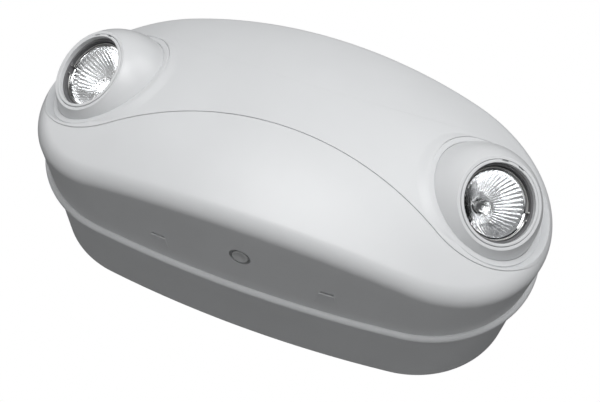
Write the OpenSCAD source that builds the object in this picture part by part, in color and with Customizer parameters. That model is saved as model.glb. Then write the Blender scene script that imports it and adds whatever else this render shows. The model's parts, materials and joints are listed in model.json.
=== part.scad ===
// Twin head emergency light: an oval wall unit with two ball-shaped lamp heads,
// each turning in a collar of the front cover and tilting on two pins.
// The wall is the plane y = 0, the front looks along -Y and +Z is up.

/* [Body] */
// Width over the bead
body_w = 391; // [386:1:396]
// Height over the bead
body_h = 193; // [190:1:197]
// How much smaller the radius of the two ends is than half the height
end_drop = 6.5; // [5.5:0.5:8.5]
// Depth from the wall to the middle of the front face
cover_d = 165; // [163:1:168]
// Depth of the parting line, as a share of the whole depth
parting_share = 0.418; // [0.40:0.002:0.43]
// Wall thickness of the housing and the cover
wall = 2.8; // [2.4:0.1:3.2]
// Radius of the rounded front edge
edge_r = 9; // [7:0.5:10]
// Radius of the bow of the face, seen from above
bow_r = 370; // [360:2:390]
// Radius of the crown of the face, seen from the side
crown_r = 250; // [240:2:270]

/* [Outline steps] */
// Inset of the housing at the wall
back_inset = 9.2; // [8:0.2:10]
// Inset of the housing just behind the bead
rim_inset = 4.6; // [4:0.2:5.4]
// Inset of the cover at the parting line
cover_inset = 3.6; // [3:0.2:4.2]
// Thickness of the bead
bead_t = 5.2; // [4.8:0.2:5.8]
// Rounding of the bead towards the front
bead_front = 3; // [2.4:0.2:3.2]
// Rounding of the bead towards the wall
bead_back = 1.5; // [1:0.1:1.6]
// Height of the locating lip inside the cover
lip_h = 6; // [4:0.5:7]
// Thickness of the locating lip
lip_t = 2.2; // [1.8:0.1:2.6]
// Gap between pieces that fit loosely
fit_gap = 0.3; // [0.2:0.05:0.4]

/* [Band] */
// Half height of the band at its waist
band_waist = 21.5; // [19:0.5:24]
// Radius of the band's two round ends
band_r = 52.5; // [51.5:0.5:53.5]
// Distance of the round ends' centres from the end of the body
band_in = 53.5; // [52:0.5:55.5]
// Height of the band above the face
band_rise = 0.8; // [0.4:0.1:1.2]

/* [Heads] */
// Distance of each ball's centre from the end of the body
head_in = 57.5; // [55.5:0.5:59.5]
// Depth of each ball's centre behind the front face over it
head_sunk = 18.9; // [17.7:0.2:20.3]
// Angle between each collar's axis and straight ahead
splay = 28.5; // [27:0.5:29]
// Downward tilt of the lamps as fitted
lamp_tilt = 22; // [16:1:26]
// Radius of the ball
ball_r = 46; // [45.4:0.1:46.4]
// Thickness of the ball's shell
ball_t = 2.4; // [2:0.1:2.8]
// Radius of the ball's front opening, to its outer edge
mouth_r = 31.5; // [31:0.1:32]
// How far the ball reaches behind its centre
ball_back = 22; // [19:0.5:24]
// Gap between the ball and the collar
ball_gap = 0.4; // [0.3:0.05:0.5]
// Radius of the recess round the collar
recess_r = 50; // [49.8:0.1:50.2]
// How far the recess widens towards the end of the body
flare_w = 2.7; // [2:0.1:3]
// Radius of the collar's rounded lip
lip_r = 2.6; // [2.4:0.1:2.8]
// Distance of the lip's centre ahead of the ball's centre
lip_z = 10; // [9:0.1:10.6]

/* [Swivel] */
// Outer radius of the ring that carries the ball
ring_r = 50.5; // [50.3:0.1:50.7]
// Inner radius of that ring
ring_in = 46.9; // [46.6:0.1:47.2]
// Half height of that ring
ring_h = 7; // [6:0.5:7.5]
// Running clearance of turning fits
run_gap = 0.06; // [0.03:0.01:0.09]
// Radius of the pins that the ball tilts on
pin_r = 2.4; // [2:0.1:2.8]
// Thickness of the collar tube
tube_t = 2.4; // [2:0.1:2.8]
// Thickness of the retainer
retainer_t = 2; // [1.6:0.1:2.6]
// Distance of the retainer's screws from the axis
lug_at = 56.6; // [56.2:0.1:56.8]

/* [Lamp] */
// Radius of the lamp's rim
lamp_r = 25.3; // [25:0.1:25.6]
// Radius of the mirror inside the rim
mirror_r = 23.4; // [23:0.1:23.7]
// Depth of the lamp's rim behind the mouth
lamp_recess = 6.5; // [6:0.1:7.5]
// Length of the reflector behind its rim
reflector_l = 22; // [20:0.5:23]
// Thickness of the reflector's glass
reflector_t = 1.5; // [1.2:0.1:1.8]
// Number of flutes in the reflector
flutes = 36; // [24:2:40]
// Depth of each flute
flute_d = 0.55; // [0.3:0.05:0.8]
// Distance between the lamp's two pins
contact_gap = 5.3; // [5:0.1:5.6]

/* [Test button and latches] */
// Distance of the button's axis in front of the parting line
button_at = 37.5; // [35:0.5:40]
// Radius of the button
button_r = 6.6; // [6:0.1:7]
// Travel of the button
button_travel = 1.5; // [1:0.1:2]
// Distance of each latch from the middle
latch_x = 63; // [60:1:66]
// Distance of each latch slot in front of the parting line
latch_at = 24.5; // [22:0.5:26]
// Width of each latch slot
slot_w = 9.5; // [8:0.5:11]
// Length of each latch slot, front to back
slot_l = 2.4; // [2:0.1:3]
// Height of the ramp that leads to each latch slot
pad_rise = 1; // [0.6:0.1:1.2]

/* [Inside] */
// Battery width
battery_w = 151; // [148:1:154]
// Battery height, as a share of the body's height
battery_share = 0.487; // [0.47:0.001:0.495]
// Distance of the battery behind the parting line
battery_in = 13; // [9:1:17]
// Circuit board width
board_w = 88; // [80:1:92]
// Circuit board height, as a share of the body's height
board_share = 0.249; // [0.23:0.001:0.26]
// Transformer width
core_w = 48; // [44:1:52]
// Transformer height, as a share of the body's height
core_share = 0.207; // [0.19:0.001:0.22]
// Depth of the transformer's stack of plates
core_d = 22; // [18:1:26]

/* [Wall mounting] */
// Radius of the wire entry
entry_r = 11.1; // [10.5:0.1:11.5]
// Distance of the wall screws from the ends of the body
screws_in = 45.5; // [43.5:0.5:47.5]
// Distance of the wall screws from the top and the bottom
screws_up = 54.5; // [52.5:0.5:56.5]
// Radius of the wall screw holes
screw_hole_r = 2.6; // [2.2:0.1:3]
// Distance between the slots for a ceiling or wall box
box_w = 89; // [86:1:92]
// Length of each box slot
box_slot_l = 16; // [14:0.5:18]

/* [Hidden] */
$fn = 96;

half_w = body_w / 2;
half_h = body_h / 2;
end_r = half_h - end_drop;
parting_d = cover_d * parting_share;
head_x = half_w - head_in;
head_d = face_depth(head_x, 0) - head_sunk;
band_x = half_w - band_in;
button_d = parting_d + button_at;
latch_d = parting_d + latch_at;
// One overrun for every cut that passes through a face
over = 1;
floor_t = 3;
rib_h = 3;
rib_t = 2;

// Outline
flat_r = ((half_w - end_r) ^ 2 + half_h ^ 2 - end_r ^ 2) / (2 * (half_h - end_r));
arc_turn = atan2(flat_r - half_h, half_w - end_r);
end_steps = 24;
flat_steps = 12;
steps = 2 * (end_steps + flat_steps);
spine_share = 0.45;
close_share = 0.97;
outer_rings = 8;
inner_rings = 5;
band_fade = 45;

// Point i of the outline, moved inwards by an inset
function outline(i, inset) =
    let (r = end_r - inset, big = flat_r - inset, c = half_w - end_r, q = end_steps / 2)
    i < q ? [c + r * cos(arc_turn * i / q), r * sin(arc_turn * i / q)]
    : i < q + flat_steps
      ? let (a = arc_turn + (180 - 2 * arc_turn) * (i - q) / flat_steps)
        [big * cos(a), big * sin(a) - flat_r + half_h]
    : i < 3 * q + flat_steps
      ? let (a = 180 - arc_turn + arc_turn * (i - q - flat_steps) / q)
        [-c + r * cos(a), r * sin(a)]
    : i < 3 * q + 2 * flat_steps
      ? let (a = 180 + arc_turn + (180 - 2 * arc_turn) * (i - 3 * q - flat_steps) / flat_steps)
        [big * cos(a), big * sin(a) + flat_r - half_h]
    : let (a = 360 - arc_turn + arc_turn * (i - 3 * q - 2 * flat_steps) / q)
      [c + r * cos(a), r * sin(a)];

// Depth of the bowed and crowned face over a point
function face_depth(x, y) =
    let (drop = crown_r - sqrt(crown_r ^ 2 - y ^ 2))
    cover_d - bow_r + sqrt((bow_r - drop) ^ 2 - x ^ 2);

// Ring of the outline at one depth
function level_ring(inset, d) =
    [for (i = [0 : steps - 1]) let (p = outline(i, inset)) [p.x, p.y, d]];

// Ring of the rounded edge, from the side wall (turn 0) to the face (turn 90)
function edge_ring(turn, r, inset, back) =
    [for (i = [0 : steps - 1])
        let (p = outline(i, inset + r * (1 - cos(turn))))
        [p.x, p.y, face_depth(p.x, p.y) - back - r * (1 - sin(turn))]];

// Ring of the face, drawn in towards the line where top and bottom meet
function face_ring(s, inset, back) =
    [for (i = [0 : steps - 1])
        let (p = outline(i, inset), x = p.x * (1 - s * spine_share), y = p.y * (1 - s))
        [x, y, face_depth(x, y) - back]];

function spine_rings(n, inset, back) =
    [for (k = [1 : n]) face_ring(close_share * k / n, inset, back)];

function reversed(list) = [for (k = [len(list) - 1 : -1 : 0]) list[k]];

// A strip of triangles that closes a ring of n points across its own middle
function strip_cap(at, n) =
    [for (i = [0 : n / 2 - 1], half = [0, 1])
        let (a = at + i, b = at + i + 1, c = at + n - i - 1, d = at + (n - i) % n)
        if (half == 0 ? b != c : a != d) half == 0 ? [a, b, c] : [a, c, d]];

// A solid through a list of rings of the same even count, closed at both ends
module loft(rings) {
    n = len(rings[0]);
    last = len(rings) - 1;
    sides = [for (k = [0 : last - 1], i = [0 : n - 1], half = [0, 1])
        let (a = k * n + i, b = k * n + (i + 1) % n, c = a + n, d = b + n)
        half == 0 ? [a, d, b] : [a, c, d]];
    ends = concat(strip_cap(0, n), [for (f = strip_cap(last * n, n)) reversed(f)]);
    polyhedron([for (ring = rings) each ring], concat(sides, ends), convexity = 6);
}

// Turns drawings of the front, with depth as height, to the row's axes
module from_wall() rotate([90, 0, 0]) children();

// Placing: one head in its collar's axes, the other one mirrored
module at_head(side) {
    if (side > 0) translate([head_x, -head_d, 0]) rotate([0, 0, splay]) from_wall() children();
    else mirror([1, 0, 0]) at_head(1) children();
}
// The same, turned on to the lamp's own axis
module at_lamp(side) at_head(side) rotate([lamp_tilt, 0, 0]) children();

// One latch's place on the flat side of the outline: y is the inset, z the depth
module at_latch(side, top) {
    mirror([0, top ? 1 : 0, 0]) translate([0, flat_r - half_h, 0])
        rotate(side * asin(latch_x / flat_r)) translate([0, -flat_r, 0]) children();
}
// The button's place on the underside: z points into the body
module at_button() translate([0, -button_z, button_d]) rotate([-90, 0, 0]) children();

// A drawing extruded along y, from one inset to another
module along_y(from, to) translate([0, to, 0]) rotate([90, 0, 0]) linear_extrude(to - from) children();

// A bar with round vertical edges, standing on z = 0
module round_bar(x, y, z, r) {
    translate([-x / 2 + r, -y / 2, 0]) cube([x - 2 * r, y, z]);
    translate([-x / 2, -y / 2 + r, 0]) cube([x, y - 2 * r, z]);
    for (sx = [-1, 1], sy = [-1, 1])
        translate([sx * (x / 2 - r), sy * (y / 2 - r), 0]) cylinder(r = r, h = z);
}

drive_share = 0.6;
drive_w = 0.7;
shank_gap = 0.1;
// A screw that points down from z = 0, with its head above
module screw(head_r, head_h, shank_r, length) {
    difference() {
        cylinder(r = head_r, h = head_h);
        for (a = [0, 90]) rotate(a) translate([-head_r * drive_share, -drive_w / 2, head_h / 2])
            cube([2 * head_r * drive_share, drive_w, head_h]);
    }
    translate([0, 0, -length]) cylinder(r = shank_r, h = length + head_h / 2);
}

// Cover
edge_turns = [0, 20, 38, 56, 73, 90];
inner_turns = [0, 30, 60, 90];
inner_edge_r = edge_r - wall;
band_back = 1.4;
lug_r = 4;
lug_angles = [60, 180, 300];
lug_screw_r = 1.5;
lug_screw_l = 10;
shoulder_gap = 0.2;
tube_back = -ring_h - shoulder_gap;
tube_out = ring_r + run_gap + tube_t;
lip_edge = 0.1;
lip_at = recess_r - lip_r - lip_edge;
// The recess's sloping wall, from its foot beside the lip
flare_foot = 1.1;
flare_h = 2 * (flare_foot + flare_w);
button_side = 0.15;
guide_in = button_r + button_side;
guide_t = 2.2;
guide_l = 8;
button_ring = 1.3;
guide_recess = 1.6;
pad_root = 9.5;
pad_end = 6;
pad_l = 17;
pad_steps = 8;
hook_h = 1.3;
tongue_w = 9;
pocket_gap = 0.3;
post_r = 3;
post_hole_r = 1.1;

// Inset of the cover's side wall at a depth
cover_rise = cover_d - edge_r - parting_d;
function side_inset(d) = cover_inset * max(0, 1 - (d - parting_d) / cover_rise);
button_z = half_h - side_inset(button_d);

module cover_block()
    loft(concat(
        [level_ring(cover_inset, parting_d)],
        [for (t = edge_turns) edge_ring(t, edge_r, 0, 0)],
        spine_rings(outer_rings, edge_r, 0)));

module cover_cavity()
    loft(concat(
        [level_ring(cover_inset + wall, parting_d - over)],
        [level_ring(cover_inset + wall, parting_d)],
        [for (t = inner_turns) edge_ring(t, inner_edge_r, wall, wall)],
        spine_rings(inner_rings, edge_r, wall)));

module band_slab()
    loft(concat(
        reversed(spine_rings(inner_rings, edge_r, band_back)),
        [edge_ring(90, edge_r, 0, band_back), edge_ring(band_fade, edge_r, 0, band_back)],
        [edge_ring(band_fade, edge_r, 0, 0), edge_ring(90, edge_r, 0, -band_rise)],
        spine_rings(outer_rings, edge_r, -band_rise)));

// Outline of the band: two round ends joined by two hollow arcs that they touch
waist_r = (band_x ^ 2 + band_waist ^ 2 - band_r ^ 2) / (2 * (band_r - band_waist));
waist_turn = atan2(band_x, waist_r + band_waist);
band_steps = 16;
module band_outline() {
    end_turn = 90 + waist_turn;
    upper = [for (k = [0 : band_steps])
        let (a = waist_turn * (1 - 2 * k / band_steps))
        [waist_r * sin(a), waist_r + band_waist - waist_r * cos(a)]];
    left = [for (k = [1 : 2 * band_steps - 1])
        let (a = 90 - waist_turn + end_turn * k / band_steps)
        [-band_x + band_r * cos(a), band_r * sin(a)]];
    polygon(concat(upper, left, [for (p = upper) -p], [for (p = left) -p]));
}

// What the collars, lugs, guide and posts leave solid inside the cover
module cover_inside() {
    for (side = [-1, 1]) rotate([-90, 0, 0]) at_head(side) {
        translate([0, 0, tube_back]) cylinder(r = tube_out, h = cover_d);
        for (a = lug_angles) rotate(a) translate([lug_at, 0, tube_back]) cylinder(r = lug_r, h = cover_d);
    }
    at_button() {
        cylinder(r = guide_in + guide_t, h = wall + guide_l);
        for (side = [-1, 1]) translate([side * switch_post_x, 0, 0]) cylinder(r = post_r, h = switch_z);
    }
}

module head_cut() {
    // bore of the swivel ring
    translate([0, 0, tube_back - over])
        cylinder(r = ring_r + run_gap, h = 2 * ring_h + 2 * shoulder_gap + over);
    // socket of the ball
    sphere(r = ball_r + ball_gap);
    // recess above the rounded lip
    rotate_extrude() difference() {
        polygon([[0, lip_z], [recess_r - flare_foot, lip_z], [recess_r + flare_w, lip_z + flare_h],
                 [recess_r + flare_w, lip_z + ball_r], [0, lip_z + ball_r]]);
        translate([lip_at, lip_z]) circle(r = lip_r);
    }
    for (a = lug_angles) rotate(a) translate([lug_at, 0, tube_back - over])
        cylinder(r = lug_screw_r, h = lug_screw_l + over);
}

// Ramp that rises out of the wall towards a latch slot
module latch_pad() {
    low = latch_d - pad_l;
    side = [for (k = [0 : pad_steps]) let (t = k / pad_steps)
        [pad_end + (pad_root - pad_end) * (1 - sin(90 * t)), low + pad_l * t]];
    intersection() {
        along_y(0, cover_inset + wall / 2) polygon(concat(side, reversed([for (p = side) [-p.x, p.y]])));
        translate([-pad_root, 0, 0]) rotate([90, 0, 90]) linear_extrude(2 * pad_root)
            polygon([[side_inset(low), low], [side_inset(latch_d) - pad_rise, latch_d],
                     [side_inset(latch_d) + wall / 2, latch_d], [side_inset(low) + wall / 2, low]]);
    }
}

module front_cover() color("gainsboro") difference() {
    from_wall() union() {
        cover_block();
        intersection() {
            band_slab();
            linear_extrude(cover_d + over) band_outline();
        }
        for (side = [-1, 1]) {
            at_latch(side, false) latch_pad();
            // lip of the collar, which stands out of the face towards the middle
            rotate([-90, 0, 0]) at_head(side) rotate_extrude() translate([lip_at, lip_z]) circle(r = lip_r);
        }
    }
    from_wall() {
        difference() {
            cover_cavity();
            cover_inside();
        }
        at_button() {
            translate([0, 0, -over]) cylinder(r = button_r + button_ring, h = guide_recess + over);
            cylinder(r = guide_in, h = wall + guide_l + over);
            for (side = [-1, 1]) translate([side * switch_post_x, 0, switch_z - post_r])
                cylinder(r = post_hole_r, h = post_r + over);
        }
        for (side = [-1, 1]) {
            at_latch(side, false) translate([-slot_w / 2, -over, latch_d])
                cube([slot_w, cover_inset + 2 * wall, slot_l]);
            at_latch(side, true) translate([-slot_w / 2, side_inset(latch_d) + wall - hook_h, latch_d])
                cube([slot_w, hook_h + wall, slot_l]);
        }
    }
    for (side = [-1, 1]) at_head(side) head_cut();
}

retainer_in = ring_in + fit_gap;
lug_head_r = 2.8;
lug_head_h = 1.8;
// Collars and what turns in them
module retainer(side) color("silver") at_head(side)
    translate([0, 0, tube_back - retainer_t]) linear_extrude(retainer_t) difference() {
        union() {
            circle(r = tube_out);
            for (a = lug_angles) rotate(a) {
                translate([lug_at, 0]) circle(r = lug_r);
                translate([0, -lug_r]) square([lug_at, 2 * lug_r]);
            }
        }
        circle(r = retainer_in);
        for (a = lug_angles) rotate(a) translate([lug_at, 0]) circle(r = lug_screw_r);
    }
module retainer_screws() color("dimgray") for (side = [-1, 1]) at_head(side)
    for (a = lug_angles) rotate(a) translate([lug_at, 0, tube_back - retainer_t]) mirror([0, 0, 1])
        screw(lug_head_r, lug_head_h, lug_screw_r - shank_gap, lug_screw_l);

seat_gap = 0.02;
rim_chamfer = 1;
module swivel_ring(side) color("darkgray") at_head(side) difference() {
    rotate_extrude() translate([ring_in, -ring_h])
        polygon([[0, 0], [ring_r - ring_in - rim_chamfer, 0], [ring_r - ring_in, rim_chamfer],
                 [ring_r - ring_in, 2 * ring_h - rim_chamfer],
                 [ring_r - ring_in - rim_chamfer, 2 * ring_h], [0, 2 * ring_h]]);
    rotate([0, 90, 0]) cylinder(r = pin_r + seat_gap, h = 2 * ring_r + over, center = true);
}
boss_l = 4;
pin_in = ball_r - ball_t - boss_l;
pin_end = ring_r - fit_gap;
boss_r = pin_r + ball_t;
module pivot_pins(side) color("silver") at_head(side)
    for (turn = [-90, 90]) rotate([0, turn, 0]) translate([0, 0, pin_in])
        cylinder(r = pin_r, h = pin_end - pin_in);

// Ball
mouth_z = sqrt(ball_r ^ 2 - mouth_r ^ 2);
mouth_edge = 1.9;
bezel_out = mouth_r - mouth_edge;
bezel_in = 27.2;
bezel_proud = 0.6;
bezel_l = 5.4;
rim_front = mouth_z - lamp_recess;
rim_t = 2.9;
cup_r = lamp_r + fit_gap;
seat_r = 24;
seat_t = 2.4;
bezel_z = mouth_z - bezel_l;
flange_r = bezel_out - bezel_proud;
cup_flange_t = 0.8;
module ball(side) color("whitesmoke") at_lamp(side) difference() {
    intersection() {
        sphere(r = ball_r);
        translate([0, 0, -ball_back]) cylinder(r = ball_r, h = ball_back + mouth_z);
    }
    difference() {
        intersection() {
            sphere(r = ball_r - ball_t);
            translate([0, 0, -ball_r]) cylinder(r = ball_r, h = ball_r + mouth_z - ball_t);
        }
        // plate behind the bezel
        translate([0, 0, bezel_z - ball_t]) cylinder(r = mouth_r, h = ball_r);
        // bosses of the pins
        for (turn = [-90, 90]) rotate([0, turn, 0])
            translate([0, 0, pin_in]) cylinder(r = boss_r, h = ball_r - pin_in);
    }
    translate([0, 0, bezel_z]) cylinder(r = bezel_out + seat_gap, h = ball_r);
    translate([0, 0, bezel_z - cup_flange_t]) cylinder(r = flange_r + seat_gap, h = ball_r);
    cylinder(r = bezel_in, h = ball_r);
    for (turn = [-90, 90]) rotate([0, turn, 0]) translate([0, 0, pin_in - over])
        cylinder(r = pin_r + run_gap, h = ball_r);
}

// Dark cup of the lamp, whose flange the bezel holds in the ball
cup_low = rim_front - rim_t - seat_t;
cup_top = bezel_z + bezel_l / 2;
module cup(side) color("dimgray") at_lamp(side) rotate_extrude() polygon([
    [seat_r, cup_low], [bezel_in - seat_gap, cup_low], [bezel_in - seat_gap, bezel_z - cup_flange_t],
    [flange_r, bezel_z - cup_flange_t], [flange_r, bezel_z], [bezel_in - seat_gap, bezel_z],
    [bezel_in - seat_gap, cup_top], [cup_r, cup_top], [cup_r, rim_front - rim_t],
    [seat_r, rim_front - rim_t]]);

bezel_round = 0.8;
notch_w = 5;
notch_d = 0.9;
notch_angles = [88, 114];
module bezel(side) color("white") at_lamp(side) difference() {
    rotate_extrude() polygon([
        [bezel_in, bezel_z], [bezel_out, bezel_z],
        [bezel_out, mouth_z + bezel_proud - bezel_round],
        [bezel_out - bezel_round, mouth_z + bezel_proud],
        [bezel_in + bezel_round, mouth_z + bezel_proud],
        [bezel_in, mouth_z + bezel_proud - bezel_round]]);
    for (a = notch_angles) rotate(a) translate([bezel_out - notch_d, -notch_w / 2, mouth_z - bezel_round])
        cube([bezel_out, notch_w, ball_r]);
}

wire_r = 0.5;
clip_turn = 338;
clip_at = lamp_r - wire_r;
clip_ear = 2.6;
module clip_ring(side) color("gold") at_lamp(side) translate([0, 0, rim_front + wire_r]) {
    rotate((360 - clip_turn) / 2) rotate_extrude(angle = clip_turn)
        translate([clip_at, 0]) circle(r = wire_r);
    for (a = [-1, 1]) rotate(a * (360 - clip_turn) / 2) translate([clip_at, 0, 0])
        rotate([0, -60, 0]) cylinder(r = wire_r, h = clip_ear);
}

// Lamp
throat_r = 5.6;
neck_r = 8;
neck_z = rim_front - rim_t - reflector_l;
lens_t = 1.5;
lens_step = 0.5;
lens_gap = 0.15;
lens_z = rim_front - lens_t;
throat_z = neck_z + reflector_t;
mirror_rings = 6;
// Radius of the mirror's curve at a height above the neck, from the throat to the rim
function mirror_at(t) = sqrt(throat_r ^ 2 + ((mirror_r - lens_step) ^ 2 - throat_r ^ 2) * t);
// The same for the reflector's back, from the neck to the rim
function back_at(t) = sqrt(neck_r ^ 2 + ((seat_r - lens_step) ^ 2 - neck_r ^ 2) * t);
function circle_ring(r, z, wave) =
    [for (i = [0 : 2 * flutes - 1]) let (a = 180 * i / flutes, q = r - (i % 2) * wave)
        [q * cos(a), q * sin(a), z]];
module reflector(side) color("lightsteelblue") at_lamp(side) loft(concat(
    [for (k = [0 : mirror_rings]) let (t = k / mirror_rings)
        circle_ring(back_at(t), neck_z + (rim_front - rim_t - neck_z) * t, 0)],
    [circle_ring(lamp_r, rim_front - rim_t, 0),
     circle_ring(lamp_r, rim_front, 0),
     circle_ring(mirror_r + lens_gap, rim_front, 0),
     circle_ring(mirror_r + lens_gap, lens_z, 0)],
    [for (k = [mirror_rings : -1 : 0]) let (t = k / mirror_rings)
        circle_ring(mirror_at(t), throat_z + (lens_z - throat_z) * t,
                    k == mirror_rings ? 0 : flute_d * min(1, 2 * t))]));
module lens(side) color("aliceblue", 0.4) at_lamp(side) translate([0, 0, lens_z])
    cylinder(r = mirror_r, h = lens_t);

capsule_r = 4.6;
capsule_l = 13;
module burner(side) color("ivory") at_lamp(side) translate([0, 0, throat_z]) {
    cylinder(r = capsule_r, h = capsule_l - capsule_r);
    translate([0, 0, capsule_l - capsule_r]) sphere(r = capsule_r);
}

base_w = 15;
base_t = 9;
base_l = 10;
contact_r = 0.75;
contact_l = 7;
module lamp_base(side) color("oldlace") at_lamp(side) {
    translate([0, 0, neck_z - base_l]) round_bar(base_w, base_t, base_l, base_t / 4);
    for (sx = [-1, 1]) translate([sx * contact_gap / 2, 0, neck_z - base_l - contact_l])
        cylinder(r = contact_r, h = contact_l + base_l / 2);
}

socket_w = 17;
socket_t = 10;
socket_l = 11;
module socket(side) color("linen") at_lamp(side) difference() {
    translate([0, 0, neck_z - base_l - socket_l]) round_bar(socket_w, socket_t, socket_l, socket_t / 3);
    for (sx = [-1, 1]) translate([sx * contact_gap / 2, 0, neck_z - base_l - contact_l - over])
        cylinder(r = contact_r + seat_gap, h = contact_l + 2 * over);
}

// Test button with its switch
stem_r = 2;
flange_t = 2;
button_proud = 0.6;
guide_end = wall + guide_l;
switch_z = 25;
switch_body = 6;
switch_h = 4;
plunger_r = 1.7;
plunger_h = 1.6;
switch_board_w = 34;
switch_board_d = 18;
switch_board_t = 1.6;
switch_post_x = 13.2;
stem_end = switch_z - switch_h - plunger_h - button_travel - fit_gap;
module test_button() color("gray") from_wall() at_button() {
    translate([0, 0, -button_proud]) cylinder(r = button_r, h = guide_end + button_proud + fit_gap);
    translate([0, 0, guide_end + fit_gap]) cylinder(r = guide_in + guide_t / 2, h = flange_t);
    cylinder(r = stem_r, h = stem_end);
}
module switch_board() color("darkgreen") from_wall() at_button() difference() {
    translate([-switch_board_w / 2, -switch_board_d / 2, switch_z])
        cube([switch_board_w, switch_board_d, switch_board_t]);
    for (side = [-1, 1]) translate([side * switch_post_x, 0, switch_z - over])
        cylinder(r = board_hole_r, h = switch_board_t + 2 * over);
}
module test_switch() color("black") from_wall() at_button() {
    translate([-switch_body / 2, -switch_body / 2, switch_z - switch_h])
        cube([switch_body, switch_body, switch_h]);
    translate([0, 0, switch_z - switch_h - plunger_h]) cylinder(r = plunger_r, h = plunger_h + over);
}
led_r = 1.5;
led_l = 4;
led_at = 6;
module pilot_led() color("limegreen") from_wall() at_button()
    translate([0, led_at, switch_z - led_l]) {
        cylinder(r = led_r, h = led_l);
        sphere(r = led_r);
    }

// Battery, held by a steel strap
battery_h = body_h * battery_share;
battery_low_share = 0.415;
battery_y = battery_h / 2 - body_h * battery_low_share;
battery_round = 3;
battery_step = 0.5;
battery_lid = 7;
battery_back = floor_t + rib_h;
battery_d = parting_d - battery_back - battery_in;
strap_t = 1.2;
strap_w = 22;
strap_foot = 15;
strap_foot_d = 20;
strap_screw_r = 2;
strap_head_r = 3.6;
strap_head_h = 2.2;
strap_screw_l = 9;
strap_boss_x = battery_w / 2 + strap_foot / 2 + strap_t;
boss_wall = 2.4;
terminal_at = 8;
tab_w = 6.3;
tab_t = 0.8;
tab_h = 7;
module from_battery() from_wall() translate([0, battery_y + battery_h / 2, battery_back + battery_d / 2])
    rotate([90, 0, 0]) children();
module battery() color("dimgray") from_battery() {
    translate([0, 0, battery_lid]) round_bar(battery_w, battery_d, battery_h - battery_lid, battery_round);
    round_bar(battery_w - 2 * battery_step, battery_d - 2 * battery_step, battery_lid, battery_round);
}
module battery_terminals() color("red") from_battery() for (side = [-1, 1])
    translate([side * (battery_w / 2 - terminal_at) - tab_w / 2, -tab_t / 2, -tab_h]) cube([tab_w, tab_t, tab_h]);
module battery_strap() color("lightsteelblue") from_wall() translate([0, battery_y, 0]) {
    inside = battery_w / 2 + fit_gap;
    front = battery_back + battery_d + fit_gap;
    translate([-inside - strap_t, -strap_w / 2, front]) cube([2 * inside + 2 * strap_t, strap_w, strap_t]);
    for (turn = [0, 180]) rotate(turn) {
        translate([inside, -strap_w / 2, strap_foot_d]) cube([strap_t, strap_w, front - strap_foot_d + strap_t]);
        difference() {
            translate([inside, -strap_w / 2, strap_foot_d]) cube([strap_foot, strap_w, strap_t]);
            translate([strap_boss_x, 0, strap_foot_d - over]) cylinder(r = strap_screw_r + shank_gap, h = strap_t + 2 * over);
        }
    }
}
module strap_screws() color("silver") from_wall() for (side = [-1, 1])
    translate([side * strap_boss_x, battery_y, strap_foot_d + strap_t])
        screw(strap_head_r, strap_head_h, strap_screw_r, strap_screw_l);

// Transformer: a stack of plates round a coil, crimped in a steel frame
core_in = 103.5;
core_x = core_in - half_w;
core_y_share = 0.2435;
core_y = body_h * core_y_share;
core_h = body_h * core_share;
leg_w = 8;
coil_over = 8;
coil_gap = 0.5;
frame_t = 1.2;
frame_foot = 12;
frame_boss = 6;
frame_screw_l = 5;
frame_base = floor_t + frame_boss;
core_back = frame_base + frame_t + coil_over + coil_gap;
crimp = 3;
frame_hole_x = core_w / 2 + frame_foot / 2 + frame_t;
module at_core() from_wall() translate([core_x, core_y, 0]) children();
window_w = (core_w - 4 * leg_w) / 2;
window_h = core_h - 2 * leg_w;
module transformer_core() color("slategray") at_core() translate([0, 0, core_back]) difference() {
    translate([-core_w / 2, -core_h / 2, 0]) cube([core_w, core_h, core_d]);
    for (side = [-1, 1]) translate([side * (leg_w + window_w / 2) - window_w / 2, -window_h / 2, -over])
        cube([window_w, window_h, core_d + 2 * over]);
}
module transformer_coil() color("peru") at_core() translate([0, 0, core_back]) {
    wide = window_w - 2 * coil_gap;
    tall = window_h - 2 * coil_gap;
    for (side = [-1, 1]) translate([side * (leg_w + window_w / 2) - wide / 2, -tall / 2, -coil_over])
        cube([wide, tall, core_d + 2 * coil_over]);
    for (d = [-coil_over, core_d + coil_gap]) translate([-leg_w - window_w + coil_gap, -tall / 2, d])
        cube([2 * (leg_w + window_w - coil_gap), tall, coil_over - coil_gap]);
}
module transformer_frame() color("silver") at_core() {
    side_x = core_w / 2;
    difference() {
        translate([-side_x - frame_foot - frame_t, -core_h / 4, frame_base])
            cube([core_w + 2 * frame_foot + 2 * frame_t, core_h / 2, frame_t]);
        for (side = [-1, 1]) translate([side * frame_hole_x, 0, frame_base - over])
            cylinder(r = strap_screw_r + shank_gap, h = frame_t + 2 * over);
    }
    for (turn = [0, 180]) rotate(turn) {
        translate([side_x, -core_h / 4, frame_base]) cube([frame_t, core_h / 2, core_back + core_d + frame_t - frame_base]);
        translate([side_x - crimp, -core_h / 4, core_back + core_d]) cube([crimp + frame_t, core_h / 2, frame_t]);
    }
}
module transformer_screws() color("silver") at_core() for (side = [-1, 1])
    translate([side * frame_hole_x, 0, frame_base + frame_t])
        screw(strap_head_r, strap_head_h, strap_screw_r, frame_screw_l);

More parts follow.
